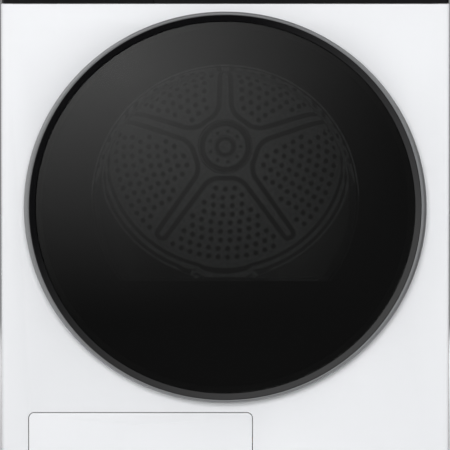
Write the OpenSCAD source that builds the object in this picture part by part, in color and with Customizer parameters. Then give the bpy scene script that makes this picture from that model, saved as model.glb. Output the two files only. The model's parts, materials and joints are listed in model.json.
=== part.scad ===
// Front-loading heat pump clothes dryer, as an assembly of its real pieces.
// +X is to the right seen from the front, the front faces -Y, +Z is up.
// The origin is on the floor, under the centre of the overall box.

/* [Cabinet] */
// Width of the cabinet
cabinet_w = 600; // [590:1:720]
// Height of the cabinet with its feet
cabinet_h = 850; // [840:1:1000]
// Depth of the cabinet without the door
cabinet_d = 615; // [600:1:740]
// Height of the feet below the base
foot_h = 16; // [12:1:30]
// Height of the worktop
worktop_h = 30; // [20:1:40]
// Height of the black control band
band_h = 100; // [90:1:120]
// Thickness of the steel sheet
sheet = 1; // [0.8:0.1:1.5]
// Radius of the cabinet's front edges
edge_r = 6; // [3:1:10]

/* [Drum] */
// Inner radius of the drum shell
drum_r = 280; // [230:1:282]
// Height of the drum's axis above the floor
drum_z = 529; // [525:1:531]
// Length of the drum shell
drum_l = 397; // [330:1:440]
// Inner radius of the drum's front neck
neck_r = 188; // [160:1:196]
// Number of embossed spokes in the drum's back
spokes = 5; // [3:1:7]
// Height of a lifter above the shell
lifter_h = 52; // [30:1:70]
// Radius of the drum's rear shaft
shaft_r = 12.5; // [8:0.5:16]

/* [Door] */
// Width of the door's grey ring
door_w = 534; // [480:1:540]
// Height of the door's grey ring
door_h = 519; // [470:1:525]
// Height of the door's centre above the floor
door_z = 448; // [440:1:460]
// How far the door stands proud of the front panel
door_proud = 45; // [40:1:60]
// Radius of the hole in the front panel
mouth_r = 226; // [205:1:235]
// Radius of the see-through window
window_r = 178; // [150:1:184]
// Height of the window's centre above the floor
window_z = 460; // [450:1:470]
// Radius of the door's hinge pin
hinge_pin_r = 2.5; // [2:0.1:3.5]

/* [Drive] */
// Radius of the motor's pulley
pulley_r = 10; // [8:0.5:14]
// Radius of the belt tensioner's pulley
idler_r = 22; // [16:1:26]
// Radius of a front drum roller
roller_r = 22; // [16:1:26]
// Radius of the motor's shaft
motor_shaft_r = 5; // [4:0.5:7]
// Thickness of the belt
belt_t = 2; // [1.5:0.1:3]
// Width of the belt
belt_w = 9; // [6:1:12]

/* [Fits] */
// Radial clearance of a running fit
run = 0.06; // [0.02:0.01:0.1]
// Gap between a moving part and what it passes
gap = 0.35; // [0.3:0.05:0.6]
// Visible gap round a flap or drawer front
seam = 1; // [0.6:0.1:2]

/* [Hidden] */
$fn = 96;

// Overall places
half_w = cabinet_w / 2;
overall_d = cabinet_d + door_proud;
front_y = door_proud - overall_d / 2;
back_y = overall_d / 2;
band_top = cabinet_h - worktop_h;
band_z = band_top - band_h;
band_mid = (band_top + band_z) / 2;
flange = 14;
eps = 0.1;

// Side panels
side_front_y = front_y + 26;
side_back_y = back_y - 2;
side_z = foot_h + 4;
press_depth = 3;
press_count = 3;

// Front panel and its two openings
panel_z = foot_h + 2;
return_d = 25;
collar_d = 15.5;
flap_w = 299;
flap_x0 = -half_w + 37;
flap_x1 = flap_x0 + flap_w;
flap_z0 = 36.5;
flap_z1 = 172;
flap_corner = 7;
flap_pivot_y = 3.6;
flap_pivot_z = 3.2;
flap_foot_r = 1;
flap_foot_gap = 2.2;

// Bulkhead behind the front panel
plate_y = front_y + 16;
plate_t = 3;
tunnel_d = 44;
tunnel_wall = 3;
plate_half = half_w - 30;
opening_r = window_r + 12;
floor_z = window_z - 111;
web_y = plate_y + tunnel_d;
collar_r = neck_r - 8;
felt_gap = 0.3;
web_r = neck_r + 52;

// Drum places
neck_t = 1;
neck_l = 30;
neck_y = web_y + plate_t + 7;
ring_y = neck_y + neck_l;
shell_y0 = ring_y;
shell_y1 = shell_y0 + drum_l;
shell_t = 1;
back_flat_r = drum_r - 65;
back_y0 = shell_y1 + 22;
back_t = 1.2;
spoke_w = 23;
spoke_r = back_flat_r - 52;
star_h = 6;
hub_apothem = 47;
hole_step = 24.2;
hole_r = 5;
hole_first_r = 75.6;
hole_rows = floor((back_flat_r - hole_r - hole_first_r) / hole_step) + 1;
lifter_w = 78;
bead_depth = 3;
bead_half = 7;
bead_ys = [shell_y0 + 60, shell_y1 - 60];

// Rear duct and bearing
duct_y0 = back_y0 + 3;
duct_y1 = back_y - 14;
duct_r = back_flat_r + 20;
duct_wall = 3;
bearing_t = 3.5;
bearing_y0 = duct_y0 + 24;
bearing_y1 = bearing_y0 + 40;

// Drive
wheel_r = 75;
blower_y1 = back_y - 22;
blower_y0 = blower_y1 - 58;
cross_y1 = blower_y0 - 2;
cross_y0 = cross_y1 - 52;
motor_x = 150;
motor_z = 130;
motor_r = 52;
motor_y1 = cross_y0 - 6;
motor_y0 = motor_y1 - 150;
belt_y = motor_y0 - 20;
arm_y0 = belt_y - 17;
arm_y1 = arm_y0 + 5;
belt_press = 10.6;
idler_reach = 98;
taut_angle = atan2(motor_z - drum_z, motor_x)
    - acos((drum_r + shell_t - pulley_r) / norm([motor_x, motor_z - drum_z]));
idler_out = pulley_r + gap + idler_r + gap + belt_t - belt_press;
idler_x = motor_x + idler_out * cos(taut_angle) + idler_reach * sin(taut_angle);
idler_z = motor_z + idler_out * sin(taut_angle) - idler_reach * cos(taut_angle);
idler_pivot_x = 95;
idler_pivot_z = 100;
roller_angle = 30;
blower_top = 224;
roller_w = 16;
roller_pin_r = 5;

// Heat pump
channel_x0 = -half_w + 27;
channel_x1 = channel_x0 + 264;
cross_x1 = motor_x + 90;
channel_y0 = front_y + 29;
channel_top = 190;
channel_wall = 2.5;
fin_z0 = 44;
fin_z1 = 182;
compressor_x = 150;
compressor_y = front_y + 135;
compressor_r = 58;

// Water tank
tank_x0 = -half_w + 18;
tank_x1 = tank_x0 + 174;
tank_split_x = tank_x1 + 13;
tank_y0 = front_y + return_d;
tank_y1 = tank_y0 + 350;
tank_z0 = band_z + 6;
tank_z1 = band_top - 8;
tank_wall = 2.2;
tray_back = 12;
tank_clear_r = max(drum_r, web_r) + 10;

// Door places
door_front_y = front_y - door_proud;
ring_in_w = door_w - 14;
ring_in_h = door_h - 9;
ring_back_y = door_front_y + 19;
glass_w = ring_in_w - 15;
glass_h = ring_in_h - 15.5;
frame_y = ring_back_y + 4;
plug_r = mouth_r - 4;
plug_back_y = front_y + 14;
hinge_x = door_w / 2 - 9;
hinge_y = front_y - 19;
hinge_half = 42;
hinge_knuckle_r = 5.5;

// Controls
knob_x = 20;
power_x = -48;
start_x = 92;
display_x0 = 130;
display_x1 = 262;
display_h = 44;
knob_r = 27;
knob_proud = 20;
button_r = 12;
fascia_wall = 2.5;

// ---------- helpers ----------

// Extrudes a shape drawn in X and Z from y0 to y1.
module slab(y0, y1) {
    translate([0, y1, 0]) rotate([90, 0, 0]) linear_extrude(y1 - y0) children();
}

// Extrudes a shape drawn in Y and Z from x0 to x1.
module plate_x(x0, x1) {
    translate([x0, 0, 0]) rotate([90, 0, 90]) linear_extrude(x1 - x0) children();
}

// Extrudes a shape drawn in X and Y from z0 to z1.
module plate_z(z0, z1) {
    translate([0, 0, z0]) linear_extrude(z1 - z0) children();
}

// Turns a profile of (radius, y) points about an axis along Y through (x, z).
module turned(x, z, points) {
    translate([x, 0, z]) rotate([-90, 0, 0]) rotate_extrude() polygon(points);
}

// A round bar along Y.
module bar_y(x, z, r, y0, y1) {
    translate([x, y0, z]) rotate([-90, 0, 0]) cylinder(r = r, h = y1 - y0);
}

// A tube along Y.
module tube_y(x, z, r0, r1, y0, y1) {
    turned(x, z, [[r0, y0], [r1, y0], [r1, y1], [r0, y1]]);
}

module box(x0, x1, y0, y1, z0, z1) {
    translate([x0, y0, z0]) cube([x1 - x0, y1 - y0, z1 - z0]);
}

// The corners of a rectangle, counter-clockwise from the lowest.
function corners(x0, x1, z0, z1) = [[x0, z0], [x1, z0], [x1, z1], [x0, z1]];

// Points of an arc about c, from angle a0 to a1.
function arc(c, r, a0, a1, n = 6) =
    [for (i = [0:n]) let (a = a0 + (a1 - a0) * i / n) [c[0] + r * cos(a), c[1] + r * sin(a)]];

// A rectangle with round corners, as points. The two lower ones may have a radius of their own.
function rounded(x0, x1, z0, z1, r, foot) =
    let (f = is_undef(foot) ? r : foot) concat(
        arc([x1 - f, z0 + f], f, -90, 0), arc([x1 - r, z1 - r], r, 0, 90),
        arc([x0 + r, z1 - r], r, 90, 180), arc([x0 + f, z0 + f], f, 180, 270));

module round_rect(x0, x1, z0, z1, r, foot) {
    polygon(rounded(x0, x1, z0, z1, r, foot));
}

// A smooth ring about the door's centre, from a closed profile of (half width, half height, y).
module oval_ring(profile, n = $fn) {
    m = len(profile);
    polyhedron(
        points = [for (i = [0:n - 1], p = profile) let (a = 360 * i / n)
            [p[0] * cos(a), p[2], door_z + p[1] * sin(a)]],
        faces = [for (i = [0:n - 1], k = [0:m - 1])
            let (a = i * m + k, b = i * m + (k + 1) % m,
                c = (i + 1) % n * m + k, d = (i + 1) % n * m + (k + 1) % m)
            each [[a, c, d], [a, d, b]]]);
}

// A smooth plate about the door's centre, from a profile that starts and ends on its axis.
module oval_plate(profile, n = $fn) {
    m = len(profile) - 2;
    first = n * m;
    polyhedron(
        points = concat([for (i = [0:n - 1], k = [1:m]) let (a = 360 * i / n, p = profile[k])
            [p[0] * cos(a), p[2], door_z + p[1] * sin(a)]],
            [[0, profile[0][2], door_z], [0, profile[m + 1][2], door_z]]),
        faces = [for (i = [0:n - 1]) let (a = i * m, c = (i + 1) % n * m) each concat(
            [[first, c, a], [first + 1, a + m - 1, c + m - 1]],
            [for (k = [0:m - 2]) each [[a + k, c + k, c + k + 1], [a + k, c + k + 1, a + k + 1]]])]);
}

// Vector help for tubes that follow a route
function unit(v) = v / norm(v);
function rounded_route(p, r, n = 4) = concat([p[0]],
    [for (i = [1:len(p) - 2])
        let (a = p[i] + unit(p[i - 1] - p[i]) * r, b = p[i] + unit(p[i + 1] - p[i]) * r)
        for (k = [0:n]) let (t = k / n)
            a * (1 - t) * (1 - t) + p[i] * 2 * t * (1 - t) + b * t * t],
    [p[len(p) - 1]]);
function direction(p, i) = i == 0 ? unit(p[1] - p[0])
    : i == len(p) - 1 ? unit(p[i] - p[i - 1]) : unit(unit(p[i] - p[i - 1]) + unit(p[i + 1] - p[i]));
function level(v, t) = unit(v - t * (v * t));
function sides(p, i, v) = i == len(p) ? []
    : let (s = level(v, direction(p, i))) concat([s], sides(p, i + 1, s));

// A round tube or rod swept along a route of points.
module swept(p, r, n = 10, start = [0.3, 0.2, 0.9]) {
    s = sides(p, 0, start);
    ring = [for (i = [0:len(p) - 1]) let (u = s[i], w = cross(direction(p, i), u))
        for (k = [0:n - 1]) p[i] + r * (cos(360 * k / n) * u + sin(360 * k / n) * w)];
    m = len(p) - 1;
    polyhedron(points = ring, faces = concat(
        [[for (k = [0:n - 1]) k]],
        [for (i = [0:m - 1], k = [0:n - 1])
            let (a = i * n + k, b = i * n + (k + 1) % n) each [[a, a + n, b + n], [a, b + n, b]]],
        [[for (k = [n - 1:-1:0]) m * n + k]]));
}

// ---------- cabinet ----------

function press_cells() = [for (i = [0:press_count - 1])
    let (z0 = side_z + 70, z1 = band_z - 20, step = (z1 - z0) / press_count)
    [z0 + i * step, z0 + (i + 1) * step - 24]];

// One side, drawn for the right and mirrored for the left.
module side_panel() {
    y0 = side_front_y + 60;
    y1 = side_back_y - 60;
    difference() {
        union() {
            box(half_w - sheet, half_w, side_front_y, side_back_y, side_z, band_top - 1);
            for (c = press_cells())
                plate_x(half_w - sheet - press_depth, half_w)
                    round_rect(y0 - sheet, y1 + sheet, c[0] - sheet, c[1] + sheet, 26);
            for (y = [side_front_y, side_back_y - sheet])
                box(half_w - flange, half_w, y, y + sheet, side_z, band_top - 1);
            for (z = [side_z, band_top - 1 - sheet])
                box(half_w - flange, half_w, side_front_y, side_back_y, z, z + sheet);
        }
        for (c = press_cells())
            plate_x(half_w - press_depth, half_w + eps) round_rect(y0, y1, c[0], c[1], 25);
        for (z = screw_heights())
            bar_y(half_w - 8, z, 2, side_back_y - 2, side_back_y + 1);
    }
}

module side_panel_right() {
    color("white") side_panel();
}

module side_panel_left() {
    color("white") mirror([1, 0, 0]) side_panel();
}

function screw_heights() = [for (i = [0:4]) 100 + i * (band_top - 140) / 4];

rear_z0 = 62;
dish_r = 200;
dish_depth = 10;
spigot_x = half_w - 100;
spigot_z = 45;
spigot_r = 8;
inlet_x = half_w - 85;
inlet_z = 765;

module rear_panel() {
    y1 = side_back_y + sheet;
    color("lightgrey") difference() {
        union() {
            box(-half_w + 1.5, half_w - 1.5, side_back_y, y1, rear_z0, band_top - 1);
            bar_y(0, drum_z, dish_r + sheet, y1 - sheet - dish_depth, y1);
        }
        bar_y(0, drum_z, dish_r, y1 - dish_depth, y1 + eps);
        for (side = [-1, 1], z = screw_heights())
            bar_y(side * (half_w - 8), z, 2, side_back_y - 1, y1 + 1);
        for (row = [0:10], col = [-1, 1])
            slab(side_back_y - 1, y1 + 1)
                round_rect(col * 170 - 60, col * 170 + 60, 100 + row * 13, 105 + row * 13, 2.4);
        slab(side_back_y - 1, y1 + 1)
            round_rect(inlet_x - 31, inlet_x + 31, inlet_z - 19, inlet_z + 19, 3);
    }
    color("silver") for (side = [-1, 1], z = screw_heights()) {
        bar_y(side * (half_w - 8), z, 4, y1, y1 + 0.9);
        bar_y(side * (half_w - 8), z, 1.9, side_back_y - 5, y1);
    }
}

// The front panel seen from above, as an outline with round front edges.
function front_outline(w, y0, y1, r) = concat(
    [[w, y1], [-w, y1]], arc([-w + r, y0 + r], r, 180, 270), arc([w - r, y0 + r], r, 270, 360));

module front_panel() {
    z1 = band_z - 0.6;
    color("white") difference() {
        union() {
            difference() {
                plate_z(panel_z, z1) polygon(front_outline(half_w, front_y, front_y + return_d, edge_r));
                plate_z(panel_z + sheet, z1 - sheet) polygon(front_outline(
                    half_w - sheet, front_y + sheet, front_y + return_d - sheet, edge_r - sheet));
                box(-half_w + 12, half_w - 12, front_y + sheet + 1, front_y + return_d + 1,
                    panel_z - 1, z1 + 1);
            }
            box(-half_w + 12, half_w - 12, front_y + sheet, front_y + 14, z1 - sheet, z1);
            box(-half_w + 12, half_w - 12, front_y + sheet, front_y + return_d, panel_z, panel_z + sheet);
            tube_y(0, door_z, mouth_r, mouth_r + 1.5, front_y, front_y + collar_d);
            for (side = [0, 1]) flap_jamb(side);
        }
        bar_y(0, door_z, mouth_r, front_y - 1, front_y + 2);
        slab(front_y - 1, front_y + sheet + 0.5)
            round_rect(flap_x0 - seam, flap_x1 + seam, flap_z0 - flap_foot_gap, flap_z1 + seam,
                flap_corner + seam, flap_foot_r);
        flap_pins(2 + run, seam + 6);
    }
}

// The upright ear beside the flap that holds its pivot.
module flap_jamb(side) {
    x0 = side == 0 ? flap_x0 - seam - 4 : flap_x1 + seam;
    box(x0, x0 + 4, front_y + sheet, front_y + 10, flap_z0 - 8, flap_z0 + 12);
}

// The two pins that the flap turns on, or the holes for them.
module flap_pins(r, reach) {
    for (end = [[flap_x0, -1], [flap_x1, 1]])
        translate([end[0] - end[1] * 2, front_y + flap_pivot_y, flap_z0 + flap_pivot_z])
            rotate([0, end[1] * 90, 0]) cylinder(r = r, h = 2 + reach);
}

module service_flap() {
    color("whitesmoke") union() {
        difference() {
            slab(front_y, front_y + 8)
                round_rect(flap_x0, flap_x1, flap_z0, flap_z1, flap_corner, flap_foot_r);
            box(flap_x0 + 3, flap_x1 - 3, front_y + 2.5, front_y + 9, flap_z0 + 9, flap_z1 - 3);
            box(flap_x0 - 1, flap_x1 + 1, front_y + 4.5, front_y + 9, flap_z0 - 1, flap_z0 + 5.5);
            slab(front_y - 1, front_y + 0.5)
                round_rect((flap_x0 + flap_x1) / 2 - 7.5, (flap_x0 + flap_x1) / 2 + 7.5,
                    flap_z1 - 16, flap_z1 - 14.8, 0.5);
        }
        flap_pins(2, seam + 3);
        for (x = [flap_x0 + 63, flap_x1 - 63])
            box(x - 5, x + 5, front_y + 2, front_y + 8, flap_z1 - 12, flap_z1 - 2.5);
    }
}

module worktop() {
    color("white") difference() {
        plate_z(band_top, cabinet_h)
            polygon(rounded(-half_w, half_w, front_y, back_y - 1, edge_r));
        plate_z(band_top - 1, cabinet_h - 14)
            polygon(rounded(-half_w + 3, half_w - 3, front_y + 3, back_y - 4, edge_r - 3));
        for (side = [-1, 1], end = [front_y + 60, back_y - 60])
            translate([side * (half_w - 10), end, band_top - 1]) cylinder(r = 2.2, h = 12);
    }
}

foot_x = half_w - 55;
foot_ys = [front_y + 70, back_y - 55];
base_half = half_w - 17;
base_y0 = front_y + 30;
base_y1 = back_y - 18;
base_h = 60;
floor_t = 3;

module base_tub() {
    color("dimgray") difference() {
        union() {
            difference() {
                union() {
                    box(-base_half, base_half, base_y0, base_y1, foot_h, base_h);
                    box(-base_half - 15, base_half + 15, base_y0 + 5, base_y1 - 1,
                        side_z + sheet, side_z + sheet + 3);
                }
                box(-base_half + 3, base_half - 3, base_y0 + 3, base_y1 - 3, foot_h + floor_t, base_h + 1);
            }
            for (x = [channel_x0, channel_x1 - channel_wall])
                box(x, x + channel_wall, base_y0 + 2, cross_y0, foot_h + 2, base_h - 0.2);
            box(channel_x1 - 1, base_half - 2, cross_y0, cross_y0 + channel_wall, foot_h + 2, base_h - 0.2);
            for (x = [-foot_x, foot_x], y = foot_ys) translate([x, y, foot_h + 1]) cylinder(r = 16, h = 25);
            bar_y(spigot_x, spigot_z, spigot_r, base_y1 - 1, back_y);
            box(spring_x - 5, spring_x + 5, arm_y0, arm_y1, foot_h + 2, spring_z0 + 5);
            for (y = [motor_y0 + 20, motor_y1 - 20])
                box(motor_x - 45, motor_x + 45, y - 5, y + 5, foot_h + 2, motor_z - 30);
        }
        for (x = [-foot_x, foot_x], y = foot_ys) translate([x, y, foot_h - 1]) cylinder(r = 5, h = 24);
        bar_y(spigot_x, spigot_z, 5.5, base_y1 - 4, back_y + 1);
        bar_y(spring_x, spring_z0, spring_hole_r, arm_y0 - 1, arm_y1 + 1);
        bar_y(motor_x, motor_z, motor_r + 0.2, motor_y0, motor_y1);
    }
}

module levelling_feet() {
    color("dimgray") for (x = [-foot_x, foot_x], y = foot_ys) translate([x, y, 0]) union() {
        cylinder(r = 22, h = 8);
        cylinder(r = 12, h = foot_h - 0.5, $fn = 6);
        cylinder(r = 4.95, h = foot_h + 20);
    }
}

// ---------- control band ----------

button_z = band_mid;

module band_outline(x0, x1, left, right) {
    r = 4;
    polygon(concat([[x1, front_y + return_d], [x0, front_y + return_d]],
        left ? arc([x0 + r, front_y + r], r, 180, 270) : [[x0, front_y]],
        right ? arc([x1 - r, front_y + r], r, 270, 360) : [[x1, front_y]]));
}

module control_fascia() {
    x0 = tank_split_x + seam / 2;
    color([0.06, 0.06, 0.065]) difference() {
        plate_z(band_z + 0.5, band_top - 0.5) band_outline(x0, half_w - 1, false, true);
        box(x0 + fascia_wall, half_w - 1 - fascia_wall - 1.5, front_y + fascia_wall, front_y + return_d + 1,
            band_z + 0.5 + fascia_wall, band_top - 0.5 - fascia_wall);
        bar_y(knob_x, button_z, 5, front_y - 1, front_y + 5);
        for (x = [power_x, start_x]) bar_y(x, button_z, button_r + gap, front_y - 1, front_y + 5);
        slab(front_y - 1, front_y + 5)
            round_rect(display_x0, display_x1, button_z - display_h / 2, button_z + display_h / 2, 3);
    }
}

board_y = front_y + 15;

module control_board() {
    color("darkgreen") union() {
        box(power_x - 20, display_x1 + 10, board_y, board_y + 1.6, band_z + 14, band_top - 14);
        box(display_x0 + 1, display_x1 - 1, front_y + 1, board_y, button_z - display_h / 2 + 1,
            button_z + display_h / 2 - 1);
        tube_y(knob_x, button_z, 3 + run, 9, front_y + 6, board_y);
        for (x = [power_x, start_x]) box(x - 3, x + 3, front_y + 10, board_y, button_z - 3, button_z + 3);
    }
}

module selector_knob() {
    color("silver") union() {
        turned(knob_x, button_z, [[0, front_y - knob_proud], [knob_r - 3, front_y - knob_proud],
            [knob_r - 0.6, front_y - knob_proud + 2.4], [knob_r, front_y - 0.5], [knob_r - 3, front_y - 0.5],
            [knob_r - 3.5, front_y - knob_proud + 5], [3, front_y - knob_proud + 5],
            [3, front_y + 13], [0, front_y + 13]]);
        box(knob_x - 1, knob_x + 1, front_y - knob_proud - 0.8, front_y - knob_proud + 1,
            button_z + 10, button_z + knob_r - 4);
    }
}

button_travel = 1.5;

module push_button(x) {
    color("dimgray") turned(x, button_z, [[0, front_y - 2.2], [button_r - 1, front_y - 2.2],
        [button_r, front_y - 1.4], [button_r, front_y + 6], [3, front_y + 6],
        [3, front_y + 10 - button_travel - 0.3], [0, front_y + 10 - button_travel - 0.3]]);
}

module power_button() {
    push_button(power_x);
}

module start_button() {
    push_button(start_x);
}

grip_x0 = tank_x0 + 44;
grip_x1 = grip_x0 + 86;
grip_z0 = band_mid - 4;
grip_z1 = band_top - 12;
grip_d = 17;

module tank_front() {
    x1 = tank_split_x - seam / 2;
    color([0.06, 0.06, 0.065]) difference() {
        plate_z(band_z + 0.5, band_top - 0.5) band_outline(-half_w + 1, x1, true, false);
        difference() {
            box(-half_w + 5, x1 - fascia_wall, front_y + fascia_wall, front_y + return_d - 3,
                band_z + 3, band_top - 3);
            slab(front_y, front_y + grip_d + 2)
                round_rect(grip_x0 - 2, grip_x1 + 2, grip_z0 - 2, grip_z1 + 2, 10);
        }
        slab(front_y - 1, front_y + grip_d) round_rect(grip_x0, grip_x1, grip_z0, grip_z1, 8);
    }
}

// The tank's cross-section: a box whose lower right corner follows the drum.
module tank_section(inset) {
    difference() {
        polygon(corners(tank_x0 + inset, tank_x1 - inset, tank_z0 + inset, tank_z1 - inset));
        translate([0, drum_z]) circle(r = tank_clear_r + inset);
    }
}

module tank_body() {
    color("gainsboro") difference() {
        slab(tank_y0, tank_y1) tank_section(0);
        slab(tank_y0 + tank_wall, tank_y1 - tank_wall) tank_section(tank_wall);
        plate_z(tank_z1 - tank_wall - 1, tank_z1 + 1)
            polygon(rounded(tank_x0 + 14, tank_x0 + 74, tank_y1 - 90, tank_y1 - 20, 6));
    }
}

module tank_tray() {
    color("silver") difference() {
        slab(tank_y0 + 5, tank_y1 + tray_back)
            difference() {
                polygon(corners(tank_x0 - 3, tank_x1 + 6, tank_z0 - 3, tank_z0 + 70));
                translate([0, drum_z]) circle(r = tank_clear_r - 3.5);
            }
        slab(front_y, tank_y1 + 0.8)
            difference() {
                polygon(corners(tank_x0 - 0.6, tank_x1 + 7, tank_z0 - 0.6, band_top));
                translate([0, drum_z]) circle(r = tank_clear_r - 0.6);
            }
    }
}

// ---------- bulkhead, filter and seals ----------

// The loading opening: round, with a level floor above the lint filter.
module loading_outline(grow) {
    difference() {
        translate([0, window_z]) circle(r = opening_r + grow);
        polygon(corners(-cabinet_w, cabinet_w, 0, floor_z - grow));
    }
}

filter_x = 115;
filter_y0 = front_y + 27;
filter_y1 = front_y + 53;
filter_z0 = floor_z - 117;
hook_x = 14 - plug_r;

module front_bulkhead() {
    roller = roller_axle_points();
    color("whitesmoke") difference() {
        union() {
            slab(plate_y, plate_y + plate_t)
                round_rect(-plate_half, plate_half, floor_z - 95, band_z - 4, 40);
            slab(plate_y, web_y + plate_t) loading_outline(tunnel_wall);
            slab(web_y, web_y + plate_t) translate([0, drum_z]) circle(r = web_r);
            tube_y(0, drum_z, collar_r, collar_r + 3, web_y, web_y + 30);
            for (p = roller) bar_y(p[0], p[1], 10, web_y + 1, web_y + plate_t + 5);
        }
        slab(plate_y - 1, web_y) loading_outline(0);
        slab(web_y - 1, web_y + plate_t + 1) intersection() {
            loading_outline(0);
            translate([0, drum_z]) circle(r = collar_r);
        }
        bar_y(0, drum_z, collar_r, web_y + plate_t, web_y + 40);
        box(-filter_x - 1, filter_x + 1, filter_y0 - 1, filter_y1 + 1, floor_z - 10, floor_z + 1);
        slab(plate_y - 1, plate_y + plate_t + 1)
            round_rect(hook_x - 9, hook_x + 9, door_z - 13, door_z + 13, 2);
        translate([0, lamp_y, window_z + opening_r - 6]) cylinder(r = lamp_r + 0.1, h = 14);
        for (p = roller) bar_y(p[0], p[1], roller_pin_r, web_y + 1.5, web_y + plate_t + 6);
    }
}

lamp_y = front_y + 38;
lamp_r = 14;

module drum_lamp() {
    z0 = window_z + opening_r - 4;
    color("ivory") union() {
        translate([0, lamp_y, z0]) cylinder(r = lamp_r, h = 12);
        translate([0, lamp_y, z0 + 8]) cylinder(r = lamp_r + 4, h = 6);
    }
}

module front_seal() {
    color("tan") tube_y(0, drum_z, collar_r + 3, neck_r - felt_gap, web_y + 9, web_y + 28);
}

module lint_filter() {
    color("dodgerblue") difference() {
        union() {
            box(-filter_x, filter_x, filter_y0, filter_y1, filter_z0, floor_z + 0.4);
            slab(filter_y0 - 4, filter_y1 + 4)
                round_rect(-filter_x - 8, filter_x + 8, floor_z + 0.4, floor_z + 4, 1.5);
        }
        box(-filter_x + 3, filter_x - 3, filter_y0 + 3, filter_y1 - 3, filter_z0 + 3, floor_z - 4);
        for (i = [0:2], y = [filter_y0 - 1, filter_y1 - 2.2]) {
            w = (2 * filter_x - 8) / 3;
            x = -filter_x + 5 + i * w;
            slab(y, y + 3.2) round_rect(x, x + w - 4, filter_z0 + 8, floor_z - 10, 4);
        }
        for (i = [0:16]) box(-92 + i * 11.2, -86 + i * 11.2, filter_y0 + 6, filter_y1 - 6,
            floor_z - 5, floor_z + 5);
    }
}

// The chute from the lint filter down to the heat pump channel, inset by t and open at both ends.
function duct_outline(t, past) = [
    [-filter_x - 6 + t, floor_z - tunnel_wall + past], [-filter_x - 6 + t, filter_z0 - 6 - t],
    [channel_x0 + 6 + t, channel_top + 20 - t], [channel_x0 + 6 + t, channel_top - past],
    [channel_x1 - 6 - t, channel_top - past], [channel_x1 - 6 - t, channel_top + 8 + t],
    [filter_x + 6 - t, filter_z0 - 6 + t], [filter_x + 6 - t, floor_z - tunnel_wall + past]];

module filter_duct() {
    color("silver") difference() {
        slab(filter_y0 - 4.5, filter_y1 + 4) polygon(duct_outline(0, 0));
        slab(filter_y0 - 2, filter_y1 + 1.5) polygon(duct_outline(2.5, 1));
    }
}

// ---------- drum ----------

module drum_shell() {
    color("silver") turned(0, drum_z, concat(
        [[drum_r, shell_y0], [drum_r + shell_t, shell_y0]], shell_beads(drum_r + shell_t, 1),
        [[drum_r + shell_t, shell_y1], [drum_r, shell_y1]], shell_beads(drum_r, -1)));
}

// Two rolled beads that stiffen the shell, pressed inwards.
function shell_beads(r, way) =
    [for (i = [0:1]) let (y = bead_ys[way > 0 ? i : 1 - i])
        for (p = arc([0, 0], 1, 0, 180, 6)) [r - bead_depth * p[1], y - way * bead_half * p[0]]];

module drum_front_ring() {
    r = drum_r;
    color("silver") turned(0, drum_z, [
        [neck_r, neck_y], [neck_r + neck_t, neck_y], [neck_r + neck_t, ring_y - 3 - 4],
        [neck_r + 5, ring_y - 3], [r, ring_y - 3], [r + shell_t, ring_y - 2], [r + shell_t, ring_y],
        [r - 6, ring_y], [r - 6, ring_y - 2], [neck_r + 4, ring_y - 2], [neck_r, ring_y - 6]]);
}

// The raised star: a flat-sided hub and its spokes.
module star(inset) {
    union() {
        rotate(90 - 180 / spokes)
            circle(r = (hub_apothem - inset) / cos(180 / spokes), $fn = spokes);
        for (i = [0:spokes - 1]) rotate(90 + i * 360 / spokes) {
            polygon(corners(0, spoke_r - inset, -spoke_w / 2 + inset, spoke_w / 2 - inset));
            translate([spoke_r - inset, 0]) circle(r = spoke_w / 2 - inset - 0.01);
        }
    }
}

function clear_of_spokes(r, a) =
    let (off = abs(((a - 90) % (360 / spokes) + 360 / spokes) % (360 / spokes) - 180 / spokes),
         across = r * sin(180 / spokes - off))
    across > spoke_w / 2 + hole_r + 3;

module drum_back() {
    color("silver") union() {
        difference() {
            union() {
                turned(0, drum_z, [[0, back_y0], [back_flat_r, back_y0], [drum_r, shell_y1],
                    [drum_r + shell_t, shell_y1], [drum_r + shell_t, shell_y1 + 1.5],
                    [back_flat_r, back_y0 + back_t], [0, back_y0 + back_t]]);
                slab(back_y0 - star_h, back_y0 + 0.2) translate([0, drum_z]) star(0);
            }
            slab(back_y0 - star_h + back_t, back_y0 + back_t + 1) translate([0, drum_z]) star(back_t);
            bar_y(0, drum_z, 8, back_y0 - 20, back_y0 + 10);
            tube_y(0, drum_z, 30.8, 37.6, back_y0 - star_h - 1, back_y0 - star_h + 0.6);
            slab(back_y0 - 1, back_y0 + back_t + 1) translate([0, drum_z])
                for (row = [0:hole_rows - 1])
                    let (r = hole_first_r + row * hole_step, n = round(2 * PI * r / 27))
                    for (k = [0:n - 1]) let (a = 360 * k / n)
                        if (clear_of_spokes(r, a)) rotate(a) translate([r, 0]) circle(r = hole_r);
        }
        tube_y(0, drum_z, 8, 44, back_y0 - star_h + back_t, back_y0 + back_t);
    }
}

module drum_lifters() {
    color("gainsboro") difference() {
        slab(shell_y0 + 12, shell_y1 - 12) translate([0, drum_z])
            for (i = [0:2]) rotate(90 + i * 120) intersection() {
                circle(r = drum_r - 0.02);
                polygon(concat([[drum_r + 5, -lifter_w / 2], [drum_r + 5, lifter_w / 2]],
                    arc([drum_r - lifter_h + 14, 0], 14, 115, 245, 8)));
            }
        for (y = bead_ys)
            tube_y(0, drum_z, drum_r - bead_depth - 0.3, drum_r + 1,
                y - bead_half - 0.3, y + bead_half + 0.3);
    }
}

module drum_shaft() {
    color("gray") union() {
        bar_y(0, drum_z, 40, back_y0 + back_t, back_y0 + back_t + 6);
        bar_y(0, drum_z, shaft_r, back_y0 + back_t + 5, bearing_y1 + 5);
        bar_y(0, drum_z, 7.9, back_y0 - star_h - 4, back_y0 + back_t + 1);
        bar_y(0, drum_z, 12, back_y0 - star_h - 4, back_y0 - star_h);
    }
}

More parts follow.
